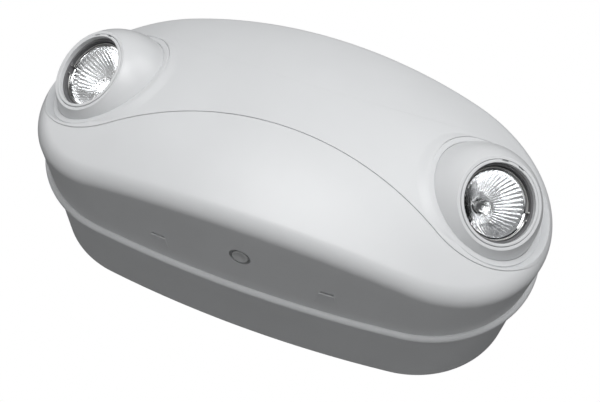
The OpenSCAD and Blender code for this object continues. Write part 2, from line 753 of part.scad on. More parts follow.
// Circuit board
board_x = half_w - core_in;
board_y_share = 0.2332;
board_y = body_h * board_y_share;
board_h = body_h * board_share;
board_t = 1.6;
board_d = 14;
board_hole_r = 1.6;
board_hole_in = 4;
board_head_r = 2.6;
board_head_h = 1.6;
board_screw_r = 1;
board_screw_l = 4;
board_corners = [for (sx = [-1, 1], sy = [-1, 1])
    [sx * (board_w / 2 - board_hole_in), sy * (board_h / 2 - board_hole_in)]];
module at_board() from_wall() translate([board_x, board_y, board_d]) children();
module circuit_board() color("darkgreen") at_board() difference() {
    translate([-board_w / 2, -board_h / 2, 0]) cube([board_w, board_h, board_t]);
    for (p = board_corners) translate([p.x, p.y, -over]) cylinder(r = board_hole_r, h = board_t + 2 * over);
}
module board_screws() color("silver") {
    at_board() for (p = board_corners) translate([p.x, p.y, board_t])
        screw(board_head_r, board_head_h, board_screw_r, board_screw_l);
    from_wall() at_button() for (side = [-1, 1])
        translate([side * switch_post_x, 0, switch_z + switch_board_t])
            screw(board_head_r, board_head_h, board_screw_r, board_screw_l);
}
relay_size = [19, 15, 15];
relay_at = [-24, -10];
relay_round = 0.8;
module relay() color("royalblue") at_board() translate([relay_at.x, relay_at.y, board_t])
    round_bar(relay_size.x, relay_size.y, relay_size.z, relay_round);
can_r = 6.5;
can_h = 24;
small_can_r = 4;
small_can_h = 13;
can_at = [2, -12];
small_can_at = [16, -14];
module capacitors() color("navy") at_board() {
    translate([can_at.x, can_at.y, board_t]) cylinder(r = can_r, h = can_h);
    translate([small_can_at.x, small_can_at.y, board_t]) cylinder(r = small_can_r, h = small_can_h);
}
sink_w = 26;
sink_fins = 6;
sink_deep = 12;
sink_h = 22;
fin_t = 1.2;
sink_at = [8, 10];
module heat_sink() color("darkslategray") at_board() translate([sink_at.x - sink_w / 2, sink_at.y, board_t]) {
    cube([sink_w, 2 * fin_t, sink_h]);
    for (k = [0 : sink_fins - 1]) translate([k * (sink_w - fin_t) / (sink_fins - 1), 0, 0])
        cube([fin_t, sink_deep, sink_h]);
}
ways = 4;
way_w = 7.5;
block_t = 10;
block_h = 11;
block_at = [31, 8];
way_r = 1.8;
module terminal_block() color("forestgreen") at_board() translate([block_at.x, block_at.y, board_t]) difference() {
    translate([-block_t / 2, -ways * way_w / 2, 0]) cube([block_t, ways * way_w, block_h]);
    for (k = [0 : ways - 1]) translate([0, (k + 1 / 2 - ways / 2) * way_w, 0]) {
        translate([0, 0, block_h / 2]) cylinder(r = way_r, h = block_h);
        translate([0, 0, block_h / 3]) rotate([0, 90, 0]) cylinder(r = way_r, h = block_t);
    }
}

// Housing
foot_round = 1.2;
bead_back_turns = [0, 45, 90];
bead_front_turns = [0, 22.5, 45, 67.5, 90];
shelf_d = 40;
shelf_drop = 5;
rib_low = 50;
rib_span = 60;
lip_inset = cover_inset + wall + fit_gap;
function housing_inset(d) = back_inset + (rim_inset - back_inset) * d / (parting_d - bead_t);
entry_up = 49.5;
entry_y = half_h - entry_up;
screws_x = half_w - screws_in;
screws_y = half_h - screws_up;
screw_boss_r = 7;
slot_r = 2.4;
rib_row_in = 83.5;
rib_row_out = 63.5;
rib_rows = [half_w - rib_row_in, half_w - rib_row_out];
battery_low = battery_y - battery_h / 2;
battery_top = battery_y + battery_h / 2;
module floor_post(x, y, r, hole, top) translate([x, y, floor_t - over]) difference() {
    cylinder(r = r, h = top - floor_t + over);
    translate([0, 0, over]) cylinder(r = hole, h = top);
}
module housing_shell() loft([
    level_ring(back_inset + foot_round, 0),
    level_ring(back_inset, foot_round),
    level_ring(rim_inset, parting_d - bead_t),
    for (t = bead_back_turns)
        level_ring(bead_back * (1 - sin(t)), parting_d - bead_t + bead_back * (1 - cos(t))),
    for (t = bead_front_turns)
        level_ring(bead_front * (1 - cos(t)), parting_d - bead_front * (1 - sin(t))),
    level_ring(lip_inset, parting_d),
    level_ring(lip_inset, parting_d + lip_h),
    level_ring(lip_inset + lip_t, parting_d + lip_h),
    level_ring(lip_inset + lip_t, parting_d - bead_t),
    level_ring(housing_inset(floor_t) + wall, floor_t)]);
// Springy tongue whose hook holds the cover
module tongue() {
    tip = latch_d + slot_l + wall;
    translate([-tongue_w / 2, lip_inset, parting_d]) cube([tongue_w, lip_t, tip - parting_d]);
    hook = side_inset(latch_d) + wall - hook_h + pocket_gap;
    translate([-tongue_w / 2 + fit_gap, hook, latch_d + pocket_gap])
        cube([tongue_w - 2 * fit_gap, lip_inset + lip_t - hook, slot_l - 2 * pocket_gap]);
}
module rear_housing() color("lightgray") from_wall() difference() {
    union() {
        housing_shell();
        for (side = [-1, 1], top = [false, true]) at_latch(side, top) tongue();
        // posts and bosses
        for (p = board_corners) floor_post(board_x + p.x, board_y + p.y, post_r, board_screw_r + shank_gap, board_d);
        for (side = [-1, 1]) {
            floor_post(side * strap_boss_x, battery_y, strap_screw_r + boss_wall, strap_screw_r + shank_gap, strap_foot_d);
            floor_post(core_x + side * frame_hole_x, core_y, strap_screw_r + boss_wall, strap_screw_r + shank_gap, frame_base);
            for (sy = [-1, 1]) translate([side * screws_x, sy * screws_y, floor_t - over])
                cylinder(r = screw_boss_r, h = over + rib_h);
            // ribs of the floor and the battery's shelf
            for (x = rib_rows) translate([side * x - rib_t / 2, -rib_low, floor_t - over])
                cube([rib_t, rib_span, rib_h + over]);
            translate([side * battery_w / 4 - rib_t / 2, battery_low - shelf_drop, floor_t - over])
                cube([rib_t, shelf_drop - fit_gap, shelf_d + over]);
            translate([side * battery_w / 3 - rib_t / 2, battery_low, floor_t - over])
                cube([rib_t, battery_h, rib_h + over]);
            translate([side * (battery_w / 2 + fit_gap) + (side < 0 ? -rib_t : 0), battery_low, floor_t - over])
                cube([rib_t, shelf_d / 2, shelf_d + over]);
        }
        translate([-battery_w / 2, battery_top + fit_gap, floor_t - over]) cube([battery_w, rib_t, shelf_d / 2 + over]);
        translate([0, entry_y, floor_t - over]) cylinder(r = entry_r + rib_t, h = over + rib_h);
    }
    translate([0, entry_y, -over]) cylinder(r = entry_r, h = cover_d);
    for (sx = [-1, 1], sy = [-1, 1]) translate([sx * screws_x, sy * screws_y, -over])
        cylinder(r = screw_hole_r, h = cover_d);
    for (side = [-1, 1]) translate([side * box_w / 2, entry_y, -over]) {
        for (end = [-1, 1]) translate([end * (box_slot_l / 2 - slot_r), 0, 0])
            cylinder(r = slot_r, h = floor_t + 2 * over);
        translate([slot_r - box_slot_l / 2, -slot_r, 0])
            cube([box_slot_l - 2 * slot_r, 2 * slot_r, floor_t + 2 * over]);
    }
}

rear_housing();
front_cover();
retainer(-1);  // left_retainer
retainer(1);  // right_retainer
retainer_screws();
swivel_ring(-1);  // left_swivel_ring
swivel_ring(1);  // right_swivel_ring
pivot_pins(-1);  // left_pivot_pins
pivot_pins(1);  // right_pivot_pins
ball(-1);  // left_ball
ball(1);  // right_ball
cup(-1);  // left_cup
cup(1);  // right_cup
bezel(-1);  // left_bezel
bezel(1);  // right_bezel
clip_ring(-1);  // left_clip_ring
clip_ring(1);  // right_clip_ring
reflector(-1);  // left_reflector
reflector(1);  // right_reflector
lens(-1);  // left_lens
lens(1);  // right_lens
burner(-1);  // left_burner
burner(1);  // right_burner
lamp_base(-1);  // left_lamp_base
lamp_base(1);  // right_lamp_base
socket(-1);  // left_socket
socket(1);  // right_socket
test_button();
switch_board();
test_switch();
pilot_led();
battery();
battery_terminals();
battery_strap();
strap_screws();
transformer_core();
transformer_coil();
transformer_frame();
transformer_screws();
circuit_board();
board_screws();
relay();
capacitors();
heat_sink();
terminal_block();
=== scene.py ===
"""Looks of the twin head emergency light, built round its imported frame.

Lengths named here are in millimetres, as on a drawing, and MM turns them into metres.
Drawings of the front use x to the right, y up and z as the depth from the wall.
"""

import json
import math

import bmesh
import bpy
import numpy as np
from mathutils import Matrix, Vector


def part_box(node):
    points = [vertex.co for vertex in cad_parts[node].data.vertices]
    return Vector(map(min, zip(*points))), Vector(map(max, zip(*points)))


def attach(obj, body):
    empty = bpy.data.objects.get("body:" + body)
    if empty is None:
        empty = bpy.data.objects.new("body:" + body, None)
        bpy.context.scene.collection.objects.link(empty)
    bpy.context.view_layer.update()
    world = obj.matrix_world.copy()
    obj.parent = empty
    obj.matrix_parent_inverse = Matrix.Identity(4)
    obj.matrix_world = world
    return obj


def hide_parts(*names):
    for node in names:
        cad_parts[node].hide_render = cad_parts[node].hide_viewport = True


MM = 0.001
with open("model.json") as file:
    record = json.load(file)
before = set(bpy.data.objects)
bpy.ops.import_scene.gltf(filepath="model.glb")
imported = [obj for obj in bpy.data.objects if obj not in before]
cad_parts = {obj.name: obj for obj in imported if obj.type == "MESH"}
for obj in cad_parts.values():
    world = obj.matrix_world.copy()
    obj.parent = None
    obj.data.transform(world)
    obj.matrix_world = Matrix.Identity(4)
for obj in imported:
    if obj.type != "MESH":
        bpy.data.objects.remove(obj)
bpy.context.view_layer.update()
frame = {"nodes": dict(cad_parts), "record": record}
SIDES = {"left": -1, "right": 1}

# Outline and face of the unit
HOUSING_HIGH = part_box("rear_housing")[1]
HALF_W = HOUSING_HIGH.x / MM
HALF_H = HOUSING_HIGH.z / MM
END_LESS = 6.5
END_R = HALF_H - END_LESS
FLAT_R = ((HALF_W - END_R) ** 2 + HALF_H ** 2 - END_R ** 2) / (2 * (HALF_H - END_R))
ARC_TURN = math.atan2(FLAT_R - HALF_H, HALF_W - END_R)
END_STEPS = 120
FLAT_STEPS = 100
COVER_D = 165.0
PARTING_SHARE = 0.418
PARTING_D = COVER_D * PARTING_SHARE
BOW_R = 370.0
CROWN_R = 250.0
EDGE_R = 9.0
WALL = 2.8
# Share by which the rings of the face get shorter while they close to a line
SPINE_SHARE = 0.45
FACE_RINGS = 44
SIDE_RINGS = 14
EDGE_STEPS = 16

# Steps of the outline from the wall to the cover
BACK_INSET = 9.2
RIM_INSET = 4.6
COVER_INSET = 3.6
BEAD_T = 5.2
BEAD_FRONT = 3.0
BEAD_BACK = 1.5
FOOT_ROUND = 1.2
LIP_H = 6.0
LIP_T = 2.2
FIT_GAP = 0.3
FLOOR_T = 3.0
ROUND_STEPS = 6
SMALL_STEPS = 4

# Band between the heads
BAND_WAIST = 21.5
BAND_R = 52.5
BAND_FROM_END = 53.5
BAND_X = HALF_W - BAND_FROM_END
BAND_RISE = 0.8
BAND_BACK = 1.4
BAND_FADE = 45
BAND_STEPS = 90

# Heads, in their collars' axes: z is ahead of the ball's centre
HEAD_FROM_END = 57.5
HEAD_X = HALF_W - HEAD_FROM_END
HEAD_SUNK = 18.9
HEAD_D = COVER_D - BOW_R + math.sqrt(BOW_R ** 2 - HEAD_X ** 2) - HEAD_SUNK
SPLAY = 28.5
LAMP_TILT = 22.0
BALL_R = 46.0
BALL_T = 2.4
BALL_BACK = 22.0
BALL_STEPS = 60
INNER_STEPS = 40
MOUTH_R = 31.5
MOUTH_Z = math.sqrt(BALL_R ** 2 - MOUTH_R ** 2)
MOUTH_ROUND = 0.7
MOUTH_TURN = 60
RING_R = 50.5
RUN_GAP = 0.06
RING_H = 7.0
SHOULDER_GAP = 0.2
TUBE_T = 2.4
ROUND_N = 240
SMALL_N = 96

# Collar round each ball. Its turns are in degrees from the head's outer side, counted upwards.
LIP_TOP = 12.6
LIP_GAP = 0.12
LIP_ROUND = 0.4
LIP_OUT = 48.5
LIP_STEPS = 8
# Height of the lip's outer edge, and what is left of it over the soft span
LIP_STEP = 0.8
LIP_SOFT = 0.1
SOFT_SPAN = (164, 278)
SOFT_FADE = 24
SKIRT_W = 8.0
SKIRT_H = 1.3
SKIRT_LEAN = 0.6
SKIRT_STEPS = 12
# Fine line at the lip's foot: from and to which turn it runs, and its depth as a share
LINE_W = 0.5
LINE_DEEP = 0.7
LINE_SPANS = ((104, 164, 1.0), (270, 335, 0.35))
LINE_FADE = 12
FLARE_W = 3.4
FLARE_H = 2 * FLARE_W
SINK = 0.01
FACE_TRIES = 12
SLOPE_REACH = 0.5

# Mouth of the ball and the lamp in it
BEZEL_OUT = 29.6
BEZEL_IN = 27.2
BEZEL_PROUD = 0.6
BEZEL_L = 5.4
BEZEL_ROUND = 0.6
BEZEL_SHOULDER = BEZEL_L / 3
JOINT_W = 0.3
BEZEL_Z = MOUTH_Z - BEZEL_L
NOTCH_W = 5.0
NOTCH_D = 1.4
NOTCH_ANGLES = (88, 114)
LAMP_R = 25.3
MIRROR_R = 23.4
LAMP_SUNK = 6.5
RIM_FRONT = MOUTH_Z - LAMP_SUNK
RIM_T = 2.9
RIM_ROUND = 0.3
SEAT_R = 24.0
SEAT_T = 2.4
FLANGE_T = 0.8
FLANGE_R = BEZEL_OUT - BEZEL_PROUD
SEAT_GAP = 0.02
CUP_ROUND = 0.3
REFLECTOR_L = 22.0
REFLECTOR_T = 1.5
NECK_Z = RIM_FRONT - RIM_T - REFLECTOR_L
THROAT_Z = NECK_Z + REFLECTOR_T
THROAT_R = 5.6
NECK_R = 8.0
LENS_T = 1.5
LENS_Z = RIM_FRONT - LENS_T
LENS_STEP = 0.5
LENS_SIDE = 0.15
FLUTES = 40
FLUTE_D = 1.0
FLUTE_POWER = 3
# How fast the flutes deepen from the neck and fade before the rim
FLUTE_RISE = 3
FLUTE_FALL = 6
FLUTE_STEPS = 10
MIRROR_RINGS = 40
BACK_RINGS = 12
WIRE_R = 0.5
WIRE_STEPS = 4
CLIP_TURN = 346
CLIP_GAP_AT = 12
CLIP_STEPS = 160
CLIP_EAR = 3.6
CLIP_EAR_IN = CLIP_EAR / 4
BURNER_R = 4.6
BURNER_L = 13.0
BURNER_GLASS = 0.9
BURNER_TIP_T = 1.1
BURNER_FOOT = 0.4
PIP_TURN = 76
DOME_STEPS = 20
HOLLOW_STEPS = 14
# Radius of the pip and height over the capsule's tip
PIP = ((1.1, -0.1), (0.8, 0.5), (0.4, 0.8), (0.0, 0.9))

# Test button and latches
BUTTON_AHEAD = 37.5
BUTTON_D = PARTING_D + BUTTON_AHEAD
BUTTON_R = 6.6
BUTTON_RING = 1.3
BUTTON_SIDE = 0.15
CAP_STEP = 0.7
CAP_PROUD = 0.6
CAP_ROUND = 0.7
CAP_FLANGE_T = 2.0
# Shallow dish in the cap: distance inside the cap's edge, and depth
CAP_DISH = ((1.8, 0.2), (1.3, 0.0))
CAP_DISH_D = 0.25
STEM_R = 2.0
STEM_END = 17.6
GUIDE_RECESS = 3.6
GUIDE_L = 8.0
GUIDE_T = 2.2
LATCH_X = 63.0
LATCH_AHEAD = 24.5
LATCH_D = PARTING_D + LATCH_AHEAD
SLOT_W = 9.5
SLOT_L = 2.4
PAD_ROOT = 9.5
PAD_END = 6.0
PAD_RISE = 1.0
PAD_L = 17.0
PAD_EDGE = 0.5
PAD_EDGE_STEPS = 5
PAD_FOOT = FIT_GAP / 10
PAD_STEPS = 24
TONGUE_W = 9.0
HOOK_H = 1.3
POCKET_GAP = 0.3

# Back wall
ENTRY_R = 11.1
ENTRY_Y = 47.0
SCREWS_W = 300.0
SCREWS_H = 84.0
SCREW_HOLE_R = 2.6
HOLE_N = 48
BOX_W = 89.0
BOX_SLOT_L = 16.0
BOX_SLOT_R = 2.4
BOX_SLOT_STEPS = 24

# Overrun of cuts, and what is welded in a new mesh and after a cut
OVER = 1.0
WELD = 0.002
CUT_WELD = 0.004

# Edges sharper than this stay sharp, in degrees
SHARP = 34
MIRROR_SHARP = 50
CAD_SHARP = 32

# Turns a drawing of the front into the row's axes
FROM_WALL = Matrix.Rotation(math.radians(90), 4, "X")


def at_head(side):
    """Matrix from a head's own axes to the row's. The left head is the right one mirrored."""
    splay = Matrix.Rotation(math.radians(SPLAY), 4, "Z")
    right = Matrix.Translation((HEAD_X, -HEAD_D, 0)) @ splay @ FROM_WALL
    return right if side > 0 else Matrix.Scale(-1, 4, (1, 0, 0)) @ right


def at_lamp(side):
    """The same for the lamp's axes, tilted down."""
    return at_head(side) @ Matrix.Rotation(math.radians(LAMP_TILT), 4, "X")


def at_latch(side, top):
    """Matrix from a latch's own drawing to the drawing of the front."""
    flip = Matrix.Scale(-1 if top else 1, 4, (0, 1, 0))
    turn = Matrix.Rotation(side * math.asin(LATCH_X / FLAT_R), 4, "Z")
    return flip @ Matrix.Translation((0, FLAT_R - HALF_H, 0)) @ turn @ Matrix.Translation((0, -FLAT_R, 0))


def limited(value):
    """The value, held between 0 and 1."""
    return min(1.0, max(0.0, value))


def side_inset(depth):
    """Inset of the cover's side wall at a depth, on the flat sides."""
    return COVER_INSET * max(0.0, 1 - (depth - PARTING_D) / (COVER_D - EDGE_R - PARTING_D))


BUTTON_Z = HALF_H - side_inset(BUTTON_D)
AT_BUTTON = (FROM_WALL @ Matrix.Translation((0, -BUTTON_Z, BUTTON_D))
             @ Matrix.Rotation(math.radians(-90), 4, "X"))


def arc(centre, radius, first, last, steps):
    """Points along an arc, in degrees."""
    turns = np.radians(np.linspace(first, last, steps + 1))
    return [(centre[0] + radius * math.cos(t), centre[1] + radius * math.sin(t)) for t in turns]


def outline(inset):
    """Points round the unit, moved inwards by an inset: two end arcs and two flat arcs."""
    turn = math.degrees(ARC_TURN)
    end_at = HALF_W - END_R
    flat_at = FLAT_R - HALF_H
    right = arc((end_at, 0), END_R - inset, 0, turn, END_STEPS // 2)
    top = arc((0, -flat_at), FLAT_R - inset, turn, 180 - turn, FLAT_STEPS)
    left = arc((-end_at, 0), END_R - inset, 180 - turn, 180 + turn, END_STEPS)
    bottom = arc((0, flat_at), FLAT_R - inset, 180 + turn, 360 - turn, FLAT_STEPS)
    last = arc((end_at, 0), END_R - inset, 360 - turn, 360, END_STEPS // 2)
    return np.array(right[:-1] + top[:-1] + left[:-1] + bottom[:-1] + last[:-1])


def face_depth(p):
    """Depth of the bowed and crowned face over points of the front."""
    drop = CROWN_R - np.sqrt(CROWN_R ** 2 - p[:, 1] ** 2)
    return COVER_D - BOW_R + np.sqrt((BOW_R - drop) ** 2 - p[:, 0] ** 2)


def with_depth(p, depth):
    """Points of the front, each with its depth."""
    return np.column_stack([p, np.broadcast_to(depth, len(p))])


def level_ring(inset, depth):
    """Ring at one depth."""
    return with_depth(outline(inset), depth)


def edge_ring(turn, radius, inset, back):
    """Ring of the rounded edge, from the side wall (turn 0) to the face (turn 90)."""
    t = math.radians(turn)
    p = outline(inset + radius * (1 - math.cos(t)))
    return with_depth(p, face_depth(p) - back - radius * (1 - math.sin(t)))


def face_ring(share, inset, back):
    """Ring of the face, drawn in towards the line where top and bottom meet."""
    p = outline(inset) * (1 - share * SPINE_SHARE, 1 - share)
    return with_depth(p, face_depth(p) - back)


def between(a, b, steps):
    """Rings strictly between two rings."""
    return [a + (b - a) * k / steps for k in range(1, steps)]


def face_rings(count, inset, back):
    return [face_ring(k / count, inset, back) for k in range(1, count + 1)]


def mesh_object(name, verts, faces, matrix=None):
    """Object from points in millimetres, with the faces turned outwards."""
    points = [Vector(v) for v in verts]
    if matrix is not None:
        points = [matrix @ v for v in points]
    mesh = bpy.data.meshes.new(name)
    mesh.from_pydata([v * MM for v in points], [], faces)
    bm = bmesh.new()
    bm.from_mesh(mesh)
    bmesh.ops.remove_doubles(bm, verts=bm.verts, dist=WELD * MM)
    bmesh.ops.dissolve_degenerate(bm, edges=bm.edges, dist=WELD / 2 * MM)
    bmesh.ops.recalc_face_normals(bm, faces=bm.faces)
    bm.to_mesh(mesh)
    bm.free()
    made = bpy.data.objects.new(name, mesh)
    bpy.context.scene.collection.objects.link(made)
    return made


def loft(name, rings, matrix, caps=(True, True)):
    """A solid through rings of the same count. An end that closes by itself needs no cap."""
    n = len(rings[0])
    verts = np.vstack(rings)
    faces = [(k * n + i, k * n + (i + 1) % n, (k + 1) * n + (i + 1) % n, (k + 1) * n + i)
             for k in range(len(rings) - 1) for i in range(n)]
    if caps[0]:
        faces.append(tuple(range(n)))
    if caps[1]:
        faces.append(tuple((len(rings) - 1) * n + i for i in range(n)))
    return mesh_object(name, verts, faces, matrix)


def turned(name, sections, matrix):
    """A solid through closed sections of (radius, z) points, spaced evenly round the z axis."""
    count, n = len(sections), len(sections[0])
    turns = [2 * math.pi * i / count for i in range(count)]
    verts = [(r * math.cos(t), r * math.sin(t), z)
             for t, section in zip(turns, sections) for r, z in section]
    faces = [(i * n + k, j * n + k, j * n + (k + 1) % n, i * n + (k + 1) % n)
             for i in range(count) for j in [(i + 1) % count] for k in range(n)]
    return mesh_object(name, verts, faces, matrix)


def revolve(name, profile, matrix, count=ROUND_N):
    """A closed profile of (radius, z) points turned round the z axis."""
    return turned(name, [profile] * count, matrix)


def prism(name, points, low, high, matrix):
    """A flat outline pulled from one height to another."""
    n = len(points)
    verts = [(x, y, z) for z in (low, high) for x, y in points]
    faces = [(i, (i + 1) % n, n + (i + 1) % n, n + i) for i in range(n)]
    faces += [tuple(range(n)), tuple(range(n, 2 * n))]
    return mesh_object(name, verts, faces, matrix)


def cylinder(name, radius, low, high, matrix, at=(0, 0), count=ROUND_N):
    """A round bar along the z axis."""
    points = [(at[0] + x, at[1] + y) for x, y in arc((0, 0), radius, 0, 360, count)[:-1]]
    return prism(name, points, low, high, matrix)


def block(name, low, high, matrix):
    """A box between two opposite corners, mostly for cuts."""
    corners = [(low[0], low[1]), (high[0], low[1]), (high[0], high[1]), (low[0], high[1])]
    return prism(name, corners, low[2], high[2], matrix)


def combine(target, tools, operation):
    """Joins or cuts with closed solids, which are used up."""
    for tool in tools:
        step = target.modifiers.new("step", "BOOLEAN")
        step.operation = operation
        step.solver = "MANIFOLD"
        step.object = tool
    graph = bpy.context.evaluated_depsgraph_get()
    mesh = bpy.data.meshes.new_from_object(target.evaluated_get(graph))
    old = target.data
    target.modifiers.clear()
    target.data = mesh
    bpy.data.meshes.remove(old)
    for tool in tools:
        used = tool.data
        bpy.data.objects.remove(tool)
        bpy.data.meshes.remove(used)
    return target


def clean(obj):
    """Welds what a cut leaves closer than a few microns."""
    bm = bmesh.new()
    bm.from_mesh(obj.data)
    bmesh.ops.remove_doubles(bm, verts=bm.verts, dist=CUT_WELD * MM)
    bmesh.ops.dissolve_degenerate(bm, edges=bm.edges, dist=CUT_WELD * MM / 2)
    bm.to_mesh(obj.data)
    bm.free()
    return obj


def smooth(obj, angle=SHARP):
    """Smooth shading, with edges sharper than the angle kept."""
    obj.data.shade_smooth()
    obj.data.set_sharp_from_angle(angle=math.radians(angle))
    return obj


# Materials. Each noise has a scale, a detail and, where it isn't the usual one, a roughness.
SLOW = (14, 3)
WAVES = (45, 2)
GLOSS = (90, 4)
GRAIN = (2600, 2, 0.6)
STREAKS = (160, 5, 0.6)
SCUFFS = (420, 4)
METAL_GRAIN = (1500, 3)
TINT = (60, 2)
RIPPLE = (120, 2)
FLOOR_CLOUD = (3, 3)
# The part of a noise's range that is stretched to the full one
NOISE_SPAN = (0.3, 0.7)
# Least and most roughness, as shares of the one given
GLOSS_SPAN = (0.97, 1.03)
METAL_SPAN = (0.75, 1.3)
# Strength and depth of the slow waves in plastic and glass, the depth in millimetres
WAVE_BUMP = (0.05, 1.0)
GLASS_BUMP = (0.15, 0.02)
GLASS_SPREAD = 0.01
GLASS_IOR = 1.46
BEVEL_SAMPLES = 4


def new_material(name, colour, roughness, metallic=0.0):
    """A material with its node tree and its shader."""
    mat = bpy.data.materials.new(name)
    mat.use_nodes = True
    shader = mat.node_tree.nodes["Principled BSDF"]
    shader.inputs["Base Color"].default_value = (*colour, 1)
    shader.inputs["Roughness"].default_value = roughness
    shader.inputs["Metallic"].default_value = metallic
    return mat, mat.node_tree, shader


def noise(tree, scale, detail, roughness=0.5):
    """Value of a noise in the object's own coordinates."""
    place = tree.nodes.new("ShaderNodeTexCoord")
    cloud = tree.nodes.new("ShaderNodeTexNoise")
    cloud.inputs["Scale"].default_value = scale
    cloud.inputs["Detail"].default_value = detail
    cloud.inputs["Roughness"].default_value = roughness
    tree.links.new(place.outputs["Object"], cloud.inputs["Vector"])
    return cloud.outputs["Fac"]


def ranged(tree, value, low, high):
    """Number between two, by a value from a noise."""
    span = tree.nodes.new("ShaderNodeMapRange")
    span.inputs["From Min"].default_value, span.inputs["From Max"].default_value = NOISE_SPAN
    span.inputs["To Min"].default_value = low
    span.inputs["To Max"].default_value = high
    tree.links.new(value, span.inputs["Value"])
    return span.outputs["Result"]


def uneven_gloss(tree, shader, pattern, roughness, span):
    low, high = [roughness * share for share in span]
    tree.links.new(ranged(tree, noise(tree, *pattern), low, high), shader.inputs["Roughness"])


def mixed(tree, value, low, high):
    """Colour between two, by a value from a noise."""
    ramp = tree.nodes.new("ShaderNodeValToRGB")
    for stop, position, colour in zip(ramp.color_ramp.elements, NOISE_SPAN, (low, high)):
        stop.position = position
        stop.color = (*colour, 1)
    tree.links.new(value, ramp.inputs["Fac"])
    return ramp.outputs["Color"]


def bumped(tree, shader, heights, edge=0.0):
    """Bump from (height, strength, distance) layers, over edges rounded by edge millimetres."""
    normal = None
    if edge > 0:
        bevel = tree.nodes.new("ShaderNodeBevel")
        bevel.samples = BEVEL_SAMPLES
        bevel.inputs["Radius"].default_value = edge * MM
        normal = bevel.outputs["Normal"]
    for height, strength, distance in heights:
        bump = tree.nodes.new("ShaderNodeBump")
        bump.inputs["Strength"].default_value = strength
        bump.inputs["Distance"].default_value = distance * MM
        tree.links.new(height, bump.inputs["Height"])
        if normal is not None:
            tree.links.new(normal, bump.inputs["Normal"])
        normal = bump.outputs["Normal"]
    tree.links.new(normal, shader.inputs["Normal"])


def shades(colour, spread):
    """A darker and a lighter shade of a colour."""
    return [c * (1 - spread) for c in colour], [min(1.0, c * (1 + spread)) for c in colour]


def moulded(name, colour, roughness, spread=0.02, grain=0.05, edge=0.35):
    """Moulded plastic: fine grain, slow waviness, and slightly uneven gloss and colour."""
    mat, tree, shader = new_material(name, colour, roughness)
    tree.links.new(mixed(tree, noise(tree, *SLOW), *shades(colour, spread)), shader.inputs["Base Color"])
    uneven_gloss(tree, shader, GLOSS, roughness, GLOSS_SPAN)
    bumped(tree, shader, [(noise(tree, *WAVES), *WAVE_BUMP), (noise(tree, *GRAIN), 1.0, grain)], edge)
    return mat


def metal(name, colour, roughness, spread=0.06, grain=0.02):
    """Plated or drawn metal with streaky gloss."""
    mat, tree, shader = new_material(name, colour, roughness, 1.0)
    tree.links.new(mixed(tree, noise(tree, *STREAKS), *shades(colour, spread)), shader.inputs["Base Color"])
    uneven_gloss(tree, shader, SCUFFS, roughness, METAL_SPAN)
    bumped(tree, shader, [(noise(tree, *METAL_GRAIN), 1.0, grain)])
    return mat


def clear(name, colour, roughness):
    """Glass with the faintest waviness."""
    mat, tree, shader = new_material(name, colour, roughness)
    shader.inputs["Transmission Weight"].default_value = 1.0
    shader.inputs["IOR"].default_value = GLASS_IOR
    bumped(tree, shader, [(noise(tree, *RIPPLE), *GLASS_BUMP)])
    tree.links.new(mixed(tree, noise(tree, *TINT), *shades(colour, GLASS_SPREAD)),
                   shader.inputs["Base Color"])
    return mat


SHELL_GREY = (0.66, 0.67, 0.68)
HEAD_GREY = (0.68, 0.69, 0.70)
MATERIALS = {
    "housing_plastic": moulded("shell_grey_back", SHELL_GREY, 0.42),
    "cover_plastic": moulded("shell_grey_front", SHELL_GREY, 0.40),
    "head_plastic": moulded("head_grey", HEAD_GREY, 0.31),
    "bezel_plastic": moulded("bezel_grey", HEAD_GREY, 0.30, edge=0.25),
    "cup_plastic": moulded("cup_dark", (0.13, 0.13, 0.135), 0.5, 0.1, edge=0.0),
    "ring_plastic": moulded("ring_grey", (0.42, 0.43, 0.44), 0.5),
    "button_plastic": moulded("button_grey", (0.52, 0.53, 0.53), 0.35, edge=0.2),
    "reflector_mirror": metal("mirror_coating", (0.93, 0.93, 0.94), 0.07, 0.02, 0.004),
    "lens_glass": clear("lens_clear", (0.98, 0.99, 0.99), 0.0),
    "burner_glass": clear("burner_clear", (0.98, 0.98, 0.98), 0.04),
    "lamp_ceramic": moulded("lamp_cement", (0.72, 0.70, 0.65), 0.7, 0.05, 0.12),
    "socket_ceramic": moulded("socket_glaze", (0.78, 0.76, 0.72), 0.25, 0.03),
    "clip_wire": metal("clip_wire", (0.55, 0.55, 0.54), 0.35),
    "pin_steel": metal("pin_turned", (0.62, 0.62, 0.63), 0.3),
    "zinc_steel": metal("zinc_sheet", (0.56, 0.58, 0.60), 0.42, 0.1, 0.05),
    "screw_steel": metal("screw_zinc", (0.60, 0.60, 0.60), 0.32),
    "battery_case": moulded("battery_grey", (0.07, 0.075, 0.08), 0.5, 0.08),
    "terminal_metal": metal("tinned_tab", (0.78, 0.74, 0.60), 0.35),
    "board": moulded("solder_resist", (0.02, 0.11, 0.045), 0.35, 0.15),
    "black_plastic": moulded("switch_black", (0.02, 0.02, 0.02), 0.45, 0.1),
    "led": moulded("led_green", (0.1, 0.5, 0.1), 0.15, 0.03),
    "core_steel": metal("core_plates", (0.24, 0.25, 0.27), 0.5, 0.15, 0.08),
    "coil_tape": moulded("coil_amber", (0.46, 0.26, 0.05), 0.4, 0.12),
    "relay_case": moulded("relay_blue", (0.03, 0.06, 0.25), 0.35, 0.05),
    "capacitor_sleeve": moulded("sleeve_navy", (0.015, 0.02, 0.07), 0.28, 0.05),
    "black_aluminium": metal("sink_black", (0.03, 0.03, 0.033), 0.45, 0.1),
    "terminal_plastic": moulded("terminal_green", (0.03, 0.16, 0.06), 0.4, 0.05),
}


def dress(obj, slot, body, replaced):
    """Gives a new piece its finish, its body and the nodes it stands for."""
    obj.data.materials.clear()
    obj.data.materials.append(MATERIALS[slot])
    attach(obj, body)
    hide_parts(*replaced)


